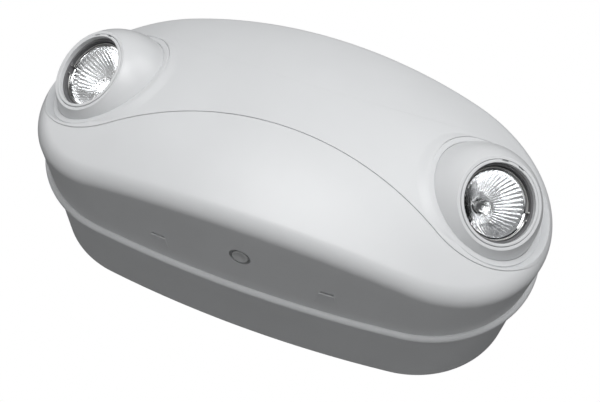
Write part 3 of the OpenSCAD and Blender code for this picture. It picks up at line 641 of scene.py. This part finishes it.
# Cover
def band_points():
    """Outline of the band: two round ends joined by two hollow arcs that they touch."""
    waist_r = (BAND_X ** 2 + BAND_WAIST ** 2 - BAND_R ** 2) / (2 * (BAND_R - BAND_WAIST))
    turn = math.degrees(math.atan2(BAND_X, waist_r + BAND_WAIST))
    top = arc((0, waist_r + BAND_WAIST), waist_r, -90 + turn, -90 - turn, BAND_STEPS)
    left = arc((-BAND_X, 0), BAND_R, 90 - turn, 270 + turn, BAND_STEPS)
    half = top[:-1] + left[:-1]
    return half + [(-x, -y) for x, y in half]


def cover_block():
    """The cover's outer form, filled."""
    side = level_ring(COVER_INSET, PARTING_D)
    first = edge_ring(0, EDGE_R, 0, 0)
    rings = [side, *between(side, first, SIDE_RINGS)]
    rings += [edge_ring(90 * k / EDGE_STEPS, EDGE_R, 0, 0) for k in range(EDGE_STEPS + 1)]
    rings += face_rings(FACE_RINGS, EDGE_R, 0)
    return loft("cover_shell", rings, FROM_WALL, (True, False))


def cover_cavity():
    """The hollow inside it, one wall thickness in."""
    side = level_ring(COVER_INSET + WALL, PARTING_D)
    inner_r = EDGE_R - WALL
    rings = [level_ring(COVER_INSET + WALL, PARTING_D - OVER), side]
    rings += [edge_ring(90 * k / ROUND_STEPS, inner_r, WALL, WALL) for k in range(ROUND_STEPS + 1)]
    rings += face_rings(FACE_RINGS // 3, EDGE_R, WALL)
    return loft("cavity", rings, FROM_WALL, (True, False))


def band_slab():
    """A layer over the whole face that stands as proud as the band and fades out over the edge."""
    turns = [BAND_FADE + (90 - BAND_FADE) * k / EDGE_STEPS for k in range(EDGE_STEPS + 1)]
    under = [*reversed(face_rings(FACE_RINGS, EDGE_R, BAND_BACK))]
    under += [edge_ring(t, EDGE_R, 0, BAND_BACK) for t in reversed(turns)]
    rise = [BAND_RISE * (k / EDGE_STEPS) for k in range(EDGE_STEPS + 1)]
    above = [edge_ring(t, EDGE_R, 0, -r) for t, r in zip(turns, rise)]
    above += face_rings(FACE_RINGS, EDGE_R, -BAND_RISE)
    return loft("band", under + above, FROM_WALL, (False, False))


def face_height(turn, radius):
    """Height of the band's face in a head's axes, at a turn and distance from the head's axis."""
    x, y = radius * math.cos(turn), radius * math.sin(turn)
    splay = math.radians(SPLAY)
    z = 0.0
    for _ in range(FACE_TRIES):
        at = HEAD_X + x * math.cos(splay) + z * math.sin(splay)
        depth = float(face_depth(np.array([[at, y]]))[0]) + BAND_RISE
        z = (depth - HEAD_D + x * math.sin(splay)) / math.cos(splay)
    return z


def lip_step(turn):
    """Height of the lip's outer edge, which melts into the skirt over the soft span."""
    first, last = SOFT_SPAN
    angle = math.degrees(turn)
    share = limited(min(angle - first, last - angle) / SOFT_FADE)
    share = share * share * (3 - 2 * share)
    return LIP_STEP + (LIP_SOFT - LIP_STEP) * share


def lip_points(turn):
    """Round lip close to the ball, from the socket over its top to its foot."""
    seat_r = BALL_R + LIP_GAP
    centre_z = LIP_TOP - LIP_ROUND
    centre_r = math.sqrt((seat_r + LIP_ROUND) ** 2 - centre_z ** 2)
    meet = math.degrees(math.atan2(centre_z, centre_r))
    low = RING_H + SHOULDER_GAP
    seat = arc((0, 0), seat_r, math.degrees(math.asin(low / seat_r)), meet, LIP_STEPS)[:-1]
    inside = arc((centre_r, centre_z), LIP_ROUND, 180 + meet, 90, LIP_STEPS)
    step = lip_step(turn)
    outside = [(r, LIP_TOP - step + z * step / LIP_STEP)
               for r, z in arc((LIP_OUT - LIP_STEP, 0), LIP_STEP, 90, 0, LIP_STEPS)]
    return seat + inside + outside


def line_points(turn):
    """Fine groove at the lip's foot, which fades out at the ends of each span."""
    angle = math.degrees(turn)
    deep = max([share * limited(min(angle - first, last - angle) / LINE_FADE)
                for first, last, share in LINE_SPANS])
    foot_z = LIP_TOP - lip_step(turn)
    low = foot_z - SINK - LINE_DEEP * deep
    return [(LIP_OUT, low), (LIP_OUT + LINE_W / 2, low), (LIP_OUT + LINE_W, foot_z)]


def skirt_points(turn):
    """Rest of the collar's section: a skirt down to the face where it lies lower, or a wall up to it."""
    foot_z = LIP_TOP - lip_step(turn)
    drop = foot_z - face_height(turn, LIP_OUT)
    steps = [k / SKIRT_STEPS for k in range(SKIRT_STEPS + 1)]
    start_r = LIP_OUT + LINE_W
    if drop <= 0:
        return [(start_r + FLARE_W * t, foot_z + FLARE_H * t) for t in steps]
    width = SKIRT_W * min(1.0, drop / SKIRT_H)
    end_r = start_r + width
    end_z = face_height(turn, end_r) - SINK
    slope = face_height(turn, end_r + SLOPE_REACH) - face_height(turn, end_r - SLOPE_REACH)
    start = (end_z - foot_z) / width * SKIRT_LEAN
    curve = []
    for t in steps:
        rise = foot_z * (2 * t ** 3 - 3 * t ** 2 + 1) + end_z * (3 * t ** 2 - 2 * t ** 3)
        rise += width * (start * (t ** 3 - 2 * t ** 2 + t) + slope * (t ** 3 - t ** 2))
        curve.append((start_r + width * t, rise))
    return curve


def collar_turns():
    """Turns round a head's axis, in radians."""
    return [2 * math.pi * i / ROUND_N for i in range(ROUND_N)]


def collar_cut(side):
    """The swivel ring's bore, the ball's socket and the air over the collar's lip and skirt."""
    bore_r = RING_R + RUN_GAP
    low = -RING_H - SHOULDER_GAP - OVER
    high = RING_H + SHOULDER_GAP
    sections = []
    for turn in collar_turns():
        skirt = skirt_points(turn)
        sections.append([(0, low), (bore_r, low), (bore_r, high), *lip_points(turn)[:-1], *line_points(turn),
                         *skirt[1:], (skirt[-1][0], COVER_D), (0, COVER_D)])
    return turned("collar_cut", sections, at_head(side))


def collar_fill(side):
    """Ring of plastic that the collar is cut from. It stands a little above the finished lip and skirt."""
    base = LIP_TOP - 2 * LIP_STEP - WALL
    inner = BALL_R - BALL_T
    sections = []
    for turn in collar_turns():
        skirt = skirt_points(turn)
        if skirt[-1][1] > LIP_TOP:
            skirt = [(LIP_OUT + SINK * k, LIP_TOP - LIP_STEP) for k in range(len(skirt))]
        top = [(r, z + FIT_GAP) for r, z in skirt[:-1]]
        end_r, end_z = skirt[-1]
        sections.append([(inner, base), (inner, LIP_TOP + FIT_GAP), (LIP_OUT - LIP_STEP, LIP_TOP + FIT_GAP),
                         *top, (end_r - SINK, end_z + FIT_GAP), (end_r - SINK, end_z - 2 * FIT_GAP)])
    return turned("collar_fill", sections, at_head(side))


def latch_pad(side):
    """Ramp that rises out of the wall towards a latch slot, with soft long edges."""
    low = LATCH_D - PAD_L
    rings = []
    for k in range(PAD_STEPS + 1):
        t = k / PAD_STEPS
        half = PAD_END + (PAD_ROOT - PAD_END) * (1 - math.sin(math.pi / 2 * t))
        top = (1 - t) * (side_inset(low) + PAD_FOOT) + t * (side_inset(LATCH_D) - PAD_RISE)
        edge = arc((half - PAD_EDGE, top + PAD_EDGE), PAD_EDGE, 0, -90, PAD_EDGE_STEPS)
        half_ring = [(half, top + WALL / 2), *edge]
        ring = half_ring + [(-x, y) for x, y in reversed(half_ring)]
        rings.append(np.array([(x, y, low + PAD_L * t) for x, y in ring]))
    return loft("pad", rings, FROM_WALL @ at_latch(side, False))


def cover_shell():
    """The cover: block, band, pads and collars joined, and then the hollow, bores and slots cut out."""
    band_cut = prism("band_cut", band_points(), 0, COVER_D + OVER, FROM_WALL)
    band = combine(band_slab(), [band_cut], "INTERSECT")
    proud = [make(s) for s in SIDES.values() for make in (latch_pad, collar_fill)]
    cover = combine(cover_block(), [band, *proud], "UNION")
    low = -RING_H - SHOULDER_GAP
    kept = [cylinder("tube", RING_R + RUN_GAP + TUBE_T, low, COVER_D, at_head(s)) for s in SIDES.values()]
    bore_r = BUTTON_R + BUTTON_SIDE
    kept.append(cylinder("guide", bore_r + GUIDE_T, 0, WALL + GUIDE_L, AT_BUTTON, count=SMALL_N))
    combine(cover, [combine(cover_cavity(), kept, "DIFFERENCE")], "DIFFERENCE")
    cuts = [collar_cut(s) for s in SIDES.values()]
    cuts.append(cylinder("ring", BUTTON_R + BUTTON_RING, -OVER, GUIDE_RECESS, AT_BUTTON, count=SMALL_N))
    cuts.append(cylinder("bore", bore_r, 0, WALL + GUIDE_L + OVER, AT_BUTTON, count=SMALL_N))
    slot_high = (SLOT_W / 2, COVER_INSET + 2 * WALL, LATCH_D + SLOT_L)
    cuts += [block("slot", (-SLOT_W / 2, -OVER, LATCH_D), slot_high, FROM_WALL @ at_latch(s, False))
             for s in SIDES.values()]
    return clean(combine(cover, cuts, "DIFFERENCE"))


# Housing
def bead_rings():
    """Rings of the bead, from behind it to the ledge in front, with rounded edges."""
    back = arc((BEAD_BACK, PARTING_D - BEAD_T + BEAD_BACK), BEAD_BACK, 270, 180, ROUND_STEPS)
    front = arc((BEAD_FRONT, PARTING_D - BEAD_FRONT), BEAD_FRONT, 180, 90, 2 * ROUND_STEPS)
    return [level_ring(x, y) for x, y in back + front]


def housing_form():
    """The housing's walls, bead and locating lip, without what is cut or joined."""
    lip = COVER_INSET + WALL + FIT_GAP
    back = PARTING_D - BEAD_T
    floor_inset = BACK_INSET + (RIM_INSET - BACK_INSET) * FLOOR_T / back
    foot = [level_ring(x, y) for x, y in
            arc((BACK_INSET + FOOT_ROUND, FOOT_ROUND), FOOT_ROUND, 270, 180, ROUND_STEPS)]
    rim = level_ring(RIM_INSET, back)
    rings = [*foot, *between(foot[-1], rim, SIDE_RINGS), rim, *bead_rings(),
             level_ring(lip, PARTING_D), level_ring(lip, PARTING_D + LIP_H),
             level_ring(lip + LIP_T, PARTING_D + LIP_H), level_ring(lip + LIP_T, back),
             level_ring(floor_inset + WALL, FLOOR_T)]
    return loft("housing_shell", rings, FROM_WALL)


def latch_tongue(side, top):
    """A springy tongue of the locating lip, with the hook that catches in the cover's slot."""
    place = FROM_WALL @ at_latch(side, top)
    lip = COVER_INSET + WALL + FIT_GAP
    half = TONGUE_W / 2
    hook = side_inset(LATCH_D) + WALL - HOOK_H + POCKET_GAP
    return [block("tongue", (-half, lip, PARTING_D), (half, lip + LIP_T, LATCH_D + SLOT_L + WALL), place),
            block("hook", (-half + FIT_GAP, hook, LATCH_D + POCKET_GAP),
                  (half - FIT_GAP, lip + LIP_T, LATCH_D + SLOT_L - POCKET_GAP), place)]


def back_cuts():
    """The wire entry, four screw holes and two slots for a round electrical box."""
    span = (-OVER, FLOOR_T + OVER, FROM_WALL)
    cuts = [cylinder("entry", ENTRY_R, *span, (0, ENTRY_Y))]
    reach = BOX_SLOT_L / 2 - BOX_SLOT_R
    slot = (arc((reach, 0), BOX_SLOT_R, -90, 90, BOX_SLOT_STEPS)
            + arc((-reach, 0), BOX_SLOT_R, 90, 270, BOX_SLOT_STEPS))
    for sx in (-1, 1):
        cuts += [cylinder("hole", SCREW_HOLE_R, *span, (sx * SCREWS_W / 2, sy * SCREWS_H / 2), HOLE_N)
                 for sy in (-1, 1)]
        cuts.append(prism("slot", [(sx * BOX_W / 2 + x, ENTRY_Y + y) for x, y in slot], *span))
    return cuts


def housing_shell():
    tongues = [piece for s in SIDES.values() for top in (False, True) for piece in latch_tongue(s, top)]
    shell = combine(housing_form(), tongues, "UNION")
    return clean(combine(shell, back_cuts(), "DIFFERENCE"))


# Heads
def sphere_arc(radius, from_z, to_z, steps):
    """Section of a sphere between two heights."""
    first = math.degrees(math.asin(from_z / radius))
    last = math.degrees(math.asin(to_z / radius))
    return arc((0, 0), radius, first, last, steps)


def ball(side):
    """The ball's shell with its rounded mouth, and the plate behind the bezel that carries the cup."""
    plate = BEZEL_Z - BALL_T
    top = sphere_arc(BALL_R, -BALL_BACK, MOUTH_Z - MOUTH_ROUND, BALL_STEPS)
    mouth = arc((top[-1][0] - MOUTH_ROUND, MOUTH_Z - MOUTH_ROUND), MOUTH_ROUND, MOUTH_TURN, 90, SMALL_STEPS)
    bezel_r = BEZEL_OUT + SEAT_GAP
    flange_r = FLANGE_R + SEAT_GAP
    profile = [*top, *mouth, (bezel_r, MOUTH_Z), (bezel_r, BEZEL_Z), (flange_r, BEZEL_Z),
               (flange_r, BEZEL_Z - FLANGE_T), (BEZEL_IN, BEZEL_Z - FLANGE_T), (BEZEL_IN, plate)]
    profile += reversed(sphere_arc(BALL_R - BALL_T, -BALL_BACK, plate, INNER_STEPS))
    return revolve(f"{side}_dome", profile, at_lamp(SIDES[side]))


def cup(side):
    """Dark cup that the lamp's rim rests in. The bezel holds its flange."""
    low = RIM_FRONT - RIM_T - SEAT_T
    top = BEZEL_Z + BEZEL_L / 2
    wall_r = BEZEL_IN - SEAT_GAP
    cup_r = LAMP_R + FIT_GAP
    edge = (arc((wall_r - CUP_ROUND, top - CUP_ROUND), CUP_ROUND, 0, 90, SMALL_STEPS)
            + arc((cup_r + CUP_ROUND, top - CUP_ROUND), CUP_ROUND, 90, 180, SMALL_STEPS))
    profile = [(SEAT_R, low), (wall_r, low), (wall_r, BEZEL_Z - FLANGE_T), (FLANGE_R, BEZEL_Z - FLANGE_T),
               (FLANGE_R, BEZEL_Z), (wall_r, BEZEL_Z), *edge, (cup_r, RIM_FRONT - RIM_T),
               (SEAT_R, RIM_FRONT - RIM_T)]
    return revolve(f"{side}_sleeve", profile, at_lamp(SIDES[side]))


def bezel(side):
    """Ring in the ball's mouth, with a fine joint line round it and two notches."""
    top = MOUTH_Z + BEZEL_PROUD
    shoulder = BEZEL_Z + BEZEL_SHOULDER
    out_r = BEZEL_OUT - JOINT_W
    in_r = BEZEL_ROUND / 2
    out_round = arc((out_r - BEZEL_ROUND, top - BEZEL_ROUND), BEZEL_ROUND, 0, 90, 2 * SMALL_STEPS)
    in_round = arc((BEZEL_IN + in_r, top - in_r), in_r, 90, 180, ROUND_STEPS)
    profile = [(BEZEL_IN, BEZEL_Z), (BEZEL_OUT, BEZEL_Z), (BEZEL_OUT, shoulder), (out_r, shoulder + JOINT_W),
               *out_round, *in_round]
    ring = revolve(f"{side}_trim", profile, at_lamp(SIDES[side]))
    notches = [block("notch", (BEZEL_OUT - NOTCH_D, -NOTCH_W / 2, MOUTH_Z - NOTCH_D),
                     (BEZEL_OUT + OVER, NOTCH_W / 2, MOUTH_Z + BALL_T),
                     at_lamp(SIDES[side]) @ Matrix.Rotation(math.radians(a), 4, "Z")) for a in NOTCH_ANGLES]
    return clean(combine(ring, notches, "DIFFERENCE"))


def bowl_radius(neck, rim, share):
    """Radius of a parabola at a share of its height."""
    return math.sqrt(neck ** 2 + (rim ** 2 - neck ** 2) * share)


def fluted_ring(radius, z, depth):
    """Ring of the mirror. Each flute is a round hollow, and a thin ridge stands between two of them."""
    n = FLUTES * FLUTE_STEPS
    i = np.arange(n)
    turn = 2 * np.pi * i / n
    within = (i % FLUTE_STEPS) / FLUTE_STEPS
    r = radius - depth * np.abs(np.cos(np.pi * within)) ** FLUTE_POWER
    return np.column_stack([r * np.cos(turn), r * np.sin(turn), np.full(n, z)])


def reflector(side):
    """The lamp's glass bowl, smooth behind, with a rim and a fluted mirror inside."""
    rings = [fluted_ring(bowl_radius(NECK_R, SEAT_R - LENS_STEP, k / BACK_RINGS),
                         NECK_Z + REFLECTOR_L * k / BACK_RINGS, 0) for k in range(BACK_RINGS + 1)]
    lens_r = MIRROR_R + LENS_SIDE
    rings += [fluted_ring(r, z, 0) for r, z in
              ((LAMP_R, RIM_FRONT - RIM_T), (LAMP_R, RIM_FRONT - RIM_ROUND), (LAMP_R - RIM_ROUND, RIM_FRONT),
               (lens_r, RIM_FRONT), (lens_r, LENS_Z))]
    for k in range(MIRROR_RINGS, -1, -1):
        t = k / MIRROR_RINGS
        depth = FLUTE_D * min(1.0, FLUTE_RISE * t, FLUTE_FALL * (1 - t))
        rings.append(fluted_ring(bowl_radius(THROAT_R, MIRROR_R - LENS_STEP, t),
                                 THROAT_Z + (LENS_Z - THROAT_Z) * t, depth))
    return loft(f"{side}_mirror", rings, at_lamp(SIDES[side]))


def tube_curve(name, points, radius, matrix):
    """A round wire through points, as a mesh with round ends."""
    curve = bpy.data.curves.new(name, "CURVE")
    curve.dimensions = "3D"
    curve.bevel_depth = radius * MM
    curve.bevel_resolution = WIRE_STEPS
    curve.use_fill_caps = True
    line = curve.splines.new("POLY")
    line.points.add(len(points) - 1)
    for spot, p in zip(line.points, points):
        spot.co = (*(matrix @ Vector(p) * MM), 1)
    made = bpy.data.objects.new(name, curve)
    bpy.context.scene.collection.objects.link(made)
    graph = bpy.context.evaluated_depsgraph_get()
    mesh = bpy.data.meshes.new_from_object(made.evaluated_get(graph))
    bpy.data.objects.remove(made)
    bpy.data.curves.remove(curve)
    obj = bpy.data.objects.new(name, mesh)
    bpy.context.scene.collection.objects.link(obj)
    return obj


def clip_ring(side):
    """Spring wire on the lamp's rim, open at one place, with both ends bent in and forward."""
    z = RIM_FRONT + WIRE_R
    at = LAMP_R - WIRE_R
    half = (360 - CLIP_TURN) / 2
    turns = (CLIP_GAP_AT + half, CLIP_GAP_AT + 360 - half)
    ring = [(x, y, z) for x, y in arc((0, 0), at, *turns, CLIP_STEPS)]
    share = 1 - CLIP_EAR_IN / at
    first, last = [(ring[k][0] * share, ring[k][1] * share, z + CLIP_EAR) for k in (0, -1)]
    return tube_curve(f"{side}_clip", [first, *ring, last], WIRE_R, at_lamp(SIDES[side]))


def burner(side):
    """The hollow glass capsule in the middle of the mirror, drawn out to a pip at its tip."""
    low, tip = THROAT_Z, THROAT_Z + BURNER_L
    inner_r = BURNER_R - BURNER_GLASS
    floor = low + BURNER_GLASS
    dome = arc((0, tip - BURNER_R), BURNER_R, 0, PIP_TURN, DOME_STEPS)
    profile = [(0, low), (BURNER_R - BURNER_FOOT, low), (BURNER_R, low + BURNER_FOOT), *dome,
               *[(r, tip + z) for r, z in PIP]]
    inside = reversed(arc((0, tip - BURNER_R), inner_r, 0, 90, HOLLOW_STEPS)[:-1])
    capsule = revolve(f"{side}_capsule", profile, at_lamp(SIDES[side]), SMALL_N)
    hollow = revolve("hollow", [(0, tip - BURNER_TIP_T), *inside, (inner_r, floor), (0, floor)],
                     at_lamp(SIDES[side]), SMALL_N)
    return combine(capsule, [hollow], "DIFFERENCE")


def test_button():
    """The button: a dished cap in its guide, a flange behind the guide and a stem to the switch."""
    top = -CAP_PROUD
    end = WALL + GUIDE_L + FIT_GAP
    back = end + CAP_FLANGE_T
    cap_r = BUTTON_R - CAP_STEP
    flange_r = BUTTON_R + BUTTON_SIDE + GUIDE_T / 2
    profile = [(0, top + CAP_DISH_D), *[(cap_r - r, top + z) for r, z in CAP_DISH], (cap_r - CAP_ROUND, top)]
    profile += arc((cap_r - CAP_ROUND, top + CAP_ROUND), CAP_ROUND, -90, 0, ROUND_STEPS)[1:]
    profile += [(cap_r, GUIDE_RECESS), (BUTTON_R, GUIDE_RECESS + CAP_STEP), (BUTTON_R, end), (flange_r, end),
                (flange_r, back), (STEM_R, back), (STEM_R, STEM_END), (0, STEM_END)]
    return revolve("button_cap", profile, AT_BUTTON, SMALL_N)


def smooth_angles():
    """Node group for the CAD nodes: welds split corners and shades smoothly up to an angle."""
    group = bpy.data.node_groups.new("weld_and_smooth", "GeometryNodeTree")
    group.interface.new_socket("Geometry", in_out="INPUT", socket_type="NodeSocketGeometry")
    group.interface.new_socket("Geometry", in_out="OUTPUT", socket_type="NodeSocketGeometry")
    start = group.nodes.new("NodeGroupInput")
    end = group.nodes.new("NodeGroupOutput")
    weld = group.nodes.new("GeometryNodeMergeByDistance")
    weld.inputs["Distance"].default_value = WELD * MM
    faces = group.nodes.new("GeometryNodeSetShadeSmooth")
    edges = group.nodes.new("GeometryNodeSetShadeSmooth")
    edges.domain = "EDGE"
    angle = group.nodes.new("GeometryNodeInputMeshEdgeAngle")
    below = group.nodes.new("FunctionNodeCompare")
    below.operation = "LESS_THAN"
    below.inputs["B"].default_value = math.radians(CAD_SHARP)
    group.links.new(start.outputs[0], weld.inputs["Geometry"])
    group.links.new(weld.outputs["Geometry"], faces.inputs["Geometry"])
    group.links.new(faces.outputs["Geometry"], edges.inputs["Geometry"])
    group.links.new(angle.outputs["Unsigned Angle"], below.inputs["A"])
    group.links.new(below.outputs["Result"], edges.inputs["Shade Smooth"])
    group.links.new(edges.outputs["Geometry"], end.inputs[0])
    return group


def dress_cad_nodes():
    """Finish of every CAD node, shown or replaced, by its slot in the record."""
    group = smooth_angles()
    slots = {row["node"]: row["material_slot"] for row in frame["record"]["subparts"]}
    for name, obj in frame["nodes"].items():
        obj.data.materials.clear()
        obj.data.materials.append(MATERIALS[slots[name]])
        if not obj.hide_render:
            obj.modifiers.new("shading", "NODES").node_group = group


def build_object():
    """Every piece of the visual model, on its body and in place of its node."""
    dress(smooth(cover_shell()), "cover_plastic", "root", ["front_cover"])
    dress(smooth(housing_shell()), "housing_plastic", "root", ["rear_housing"])
    for side in SIDES:
        body = f"{side}_head"
        dress(smooth(ball(side)), "head_plastic", body, [f"{side}_ball"])
        dress(smooth(cup(side)), "cup_plastic", body, [f"{side}_cup"])
        dress(smooth(bezel(side)), "bezel_plastic", body, [f"{side}_bezel"])
        dress(smooth(reflector(side), MIRROR_SHARP), "reflector_mirror", body, [f"{side}_reflector"])
        dress(smooth(clip_ring(side)), "clip_wire", body, [f"{side}_clip_ring"])
        dress(smooth(burner(side)), "burner_glass", body, [f"{side}_burner"])
    dress(smooth(test_button()), "button_plastic", "button", ["test_button"])
    dress_cad_nodes()


# Stage: the camera of the photograph, a pale floor and soft studio light.
# Angles are in degrees, the camera's lengths in pixels or millimetres, the lights' in metres.
CAMERA_AZ = 12.68
CAMERA_EL = -35.87
CAMERA_ROLL = 26.04
CAMERA_F = 984.38
CAMERA_SHIFT = (-9.06, -8.88)
CAMERA_DISTANCE = 750.0
LOOK_AT = Vector((0, -70, 0))
CLIP_START = 0.01
FRAME_W = 600
SENSOR = 36.0
FLOOR_HALF = 4000
FLOOR_Z = -1100
FLOOR_SHADES = ((0.66, 0.66, 0.66), (0.70, 0.70, 0.70))
FLOOR_ROUGHNESS = 0.8
AIR = (0.95, 0.97, 1.0, 1)
AIR_LOW = 0.045
AIR_HIGH = 0.055
WHITE = (1, 1, 1, 1)
LIGHTS_AIM = (0, -0.1, 0)
# Name, place, size and radiance of each soft box
LIGHTS = [
    ("front", (0, -2.0, 0), (1.2, 1.0), 5.65),
    ("accent", (0.87, -1.78, -0.28), (0.5, 0.5), 2.4),
    ("upper_right", (0.8, -1.5, 1.0), (1.0, 0.9), 2.2),
    ("right", (1.9, -0.5, 0.05), (1.0, 1.2), 0.5),
    ("left", (-1.9, -0.5, 0.3), (1.0, 1.2), 1.15),
]


def make_camera():
    """Camera at a distance from a point, turned by three angles and moved sideways by its shift."""
    az, el, roll = (math.radians(a) for a in (CAMERA_AZ, CAMERA_EL, CAMERA_ROLL))
    back = Vector((math.sin(az) * math.cos(el), -math.cos(az) * math.cos(el), math.sin(el)))
    right = Vector((math.cos(az), math.sin(az), 0))
    up = back.cross(right)
    across = right * math.cos(roll) + up * math.sin(roll)
    down = -(-right * math.sin(roll) + up * math.cos(roll))
    eye = LOOK_AT + back * CAMERA_DISTANCE - across * CAMERA_SHIFT[0] - down * CAMERA_SHIFT[1]
    data = bpy.data.cameras.new("camera")
    data.sensor_width = SENSOR
    data.lens = CAMERA_F / FRAME_W * SENSOR
    data.clip_start = CLIP_START
    camera = bpy.data.objects.new("camera", data)
    bpy.context.scene.collection.objects.link(camera)
    turn = Matrix((across, -down, back)).transposed().to_4x4()
    camera.matrix_world = Matrix.Translation(eye * MM) @ turn
    bpy.context.scene.camera = camera


def soft_light(name, place, size, radiance):
    """A soft box of one radiance, whatever its size."""
    data = bpy.data.lights.new(name, "AREA")
    data.shape = "RECTANGLE"
    data.size, data.size_y = size
    data.energy = 4 * radiance * size[0] * size[1]
    light = bpy.data.objects.new(name, data)
    bpy.context.scene.collection.objects.link(light)
    light.location = place
    light.rotation_euler = (Vector(LIGHTS_AIM) - Vector(place)).to_track_quat("-Z", "Y").to_euler()


def make_world():
    """Dim air that is lighter above, with a white backdrop for the camera."""
    world = bpy.data.worlds.new("studio")
    bpy.context.scene.world = world
    world.use_nodes = True
    tree = world.node_tree
    place = tree.nodes.new("ShaderNodeTexCoord")
    parts = tree.nodes.new("ShaderNodeSeparateXYZ")
    tree.links.new(place.outputs["Generated"], parts.inputs["Vector"])
    ramp = tree.nodes.new("ShaderNodeMapRange")
    ramp.inputs["From Min"].default_value = -1
    ramp.inputs["From Max"].default_value = 1
    ramp.inputs["To Min"].default_value = AIR_LOW
    ramp.inputs["To Max"].default_value = AIR_HIGH
    tree.links.new(parts.outputs["Z"], ramp.inputs["Value"])
    air = tree.nodes["Background"]
    air.inputs["Color"].default_value = AIR
    tree.links.new(ramp.outputs["Result"], air.inputs["Strength"])
    white = tree.nodes.new("ShaderNodeBackground")
    white.inputs["Color"].default_value = WHITE
    seen = tree.nodes.new("ShaderNodeLightPath")
    pick = tree.nodes.new("ShaderNodeMixShader")
    tree.links.new(seen.outputs["Is Camera Ray"], pick.inputs["Fac"])
    tree.links.new(air.outputs["Background"], pick.inputs[1])
    tree.links.new(white.outputs["Background"], pick.inputs[2])
    tree.links.new(pick.outputs["Shader"], tree.nodes["World Output"].inputs["Surface"])


def make_stage():
    """Floor, air and lights."""
    corners = [(x * FLOOR_HALF, y * FLOOR_HALF, FLOOR_Z) for x, y in ((-1, -1), (1, -1), (1, 1), (-1, 1))]
    floor = mesh_object("floor", corners, [(0, 1, 2, 3)])
    mat, tree, shader = new_material("pale_floor", FLOOR_SHADES[1], FLOOR_ROUGHNESS)
    tree.links.new(mixed(tree, noise(tree, *FLOOR_CLOUD), *FLOOR_SHADES), shader.inputs["Base Color"])
    floor.data.materials.append(mat)
    make_world()
    for light in LIGHTS:
        soft_light(*light)
    bpy.context.scene.view_settings.view_transform = "Standard"


build_object()
make_camera()
make_stage()
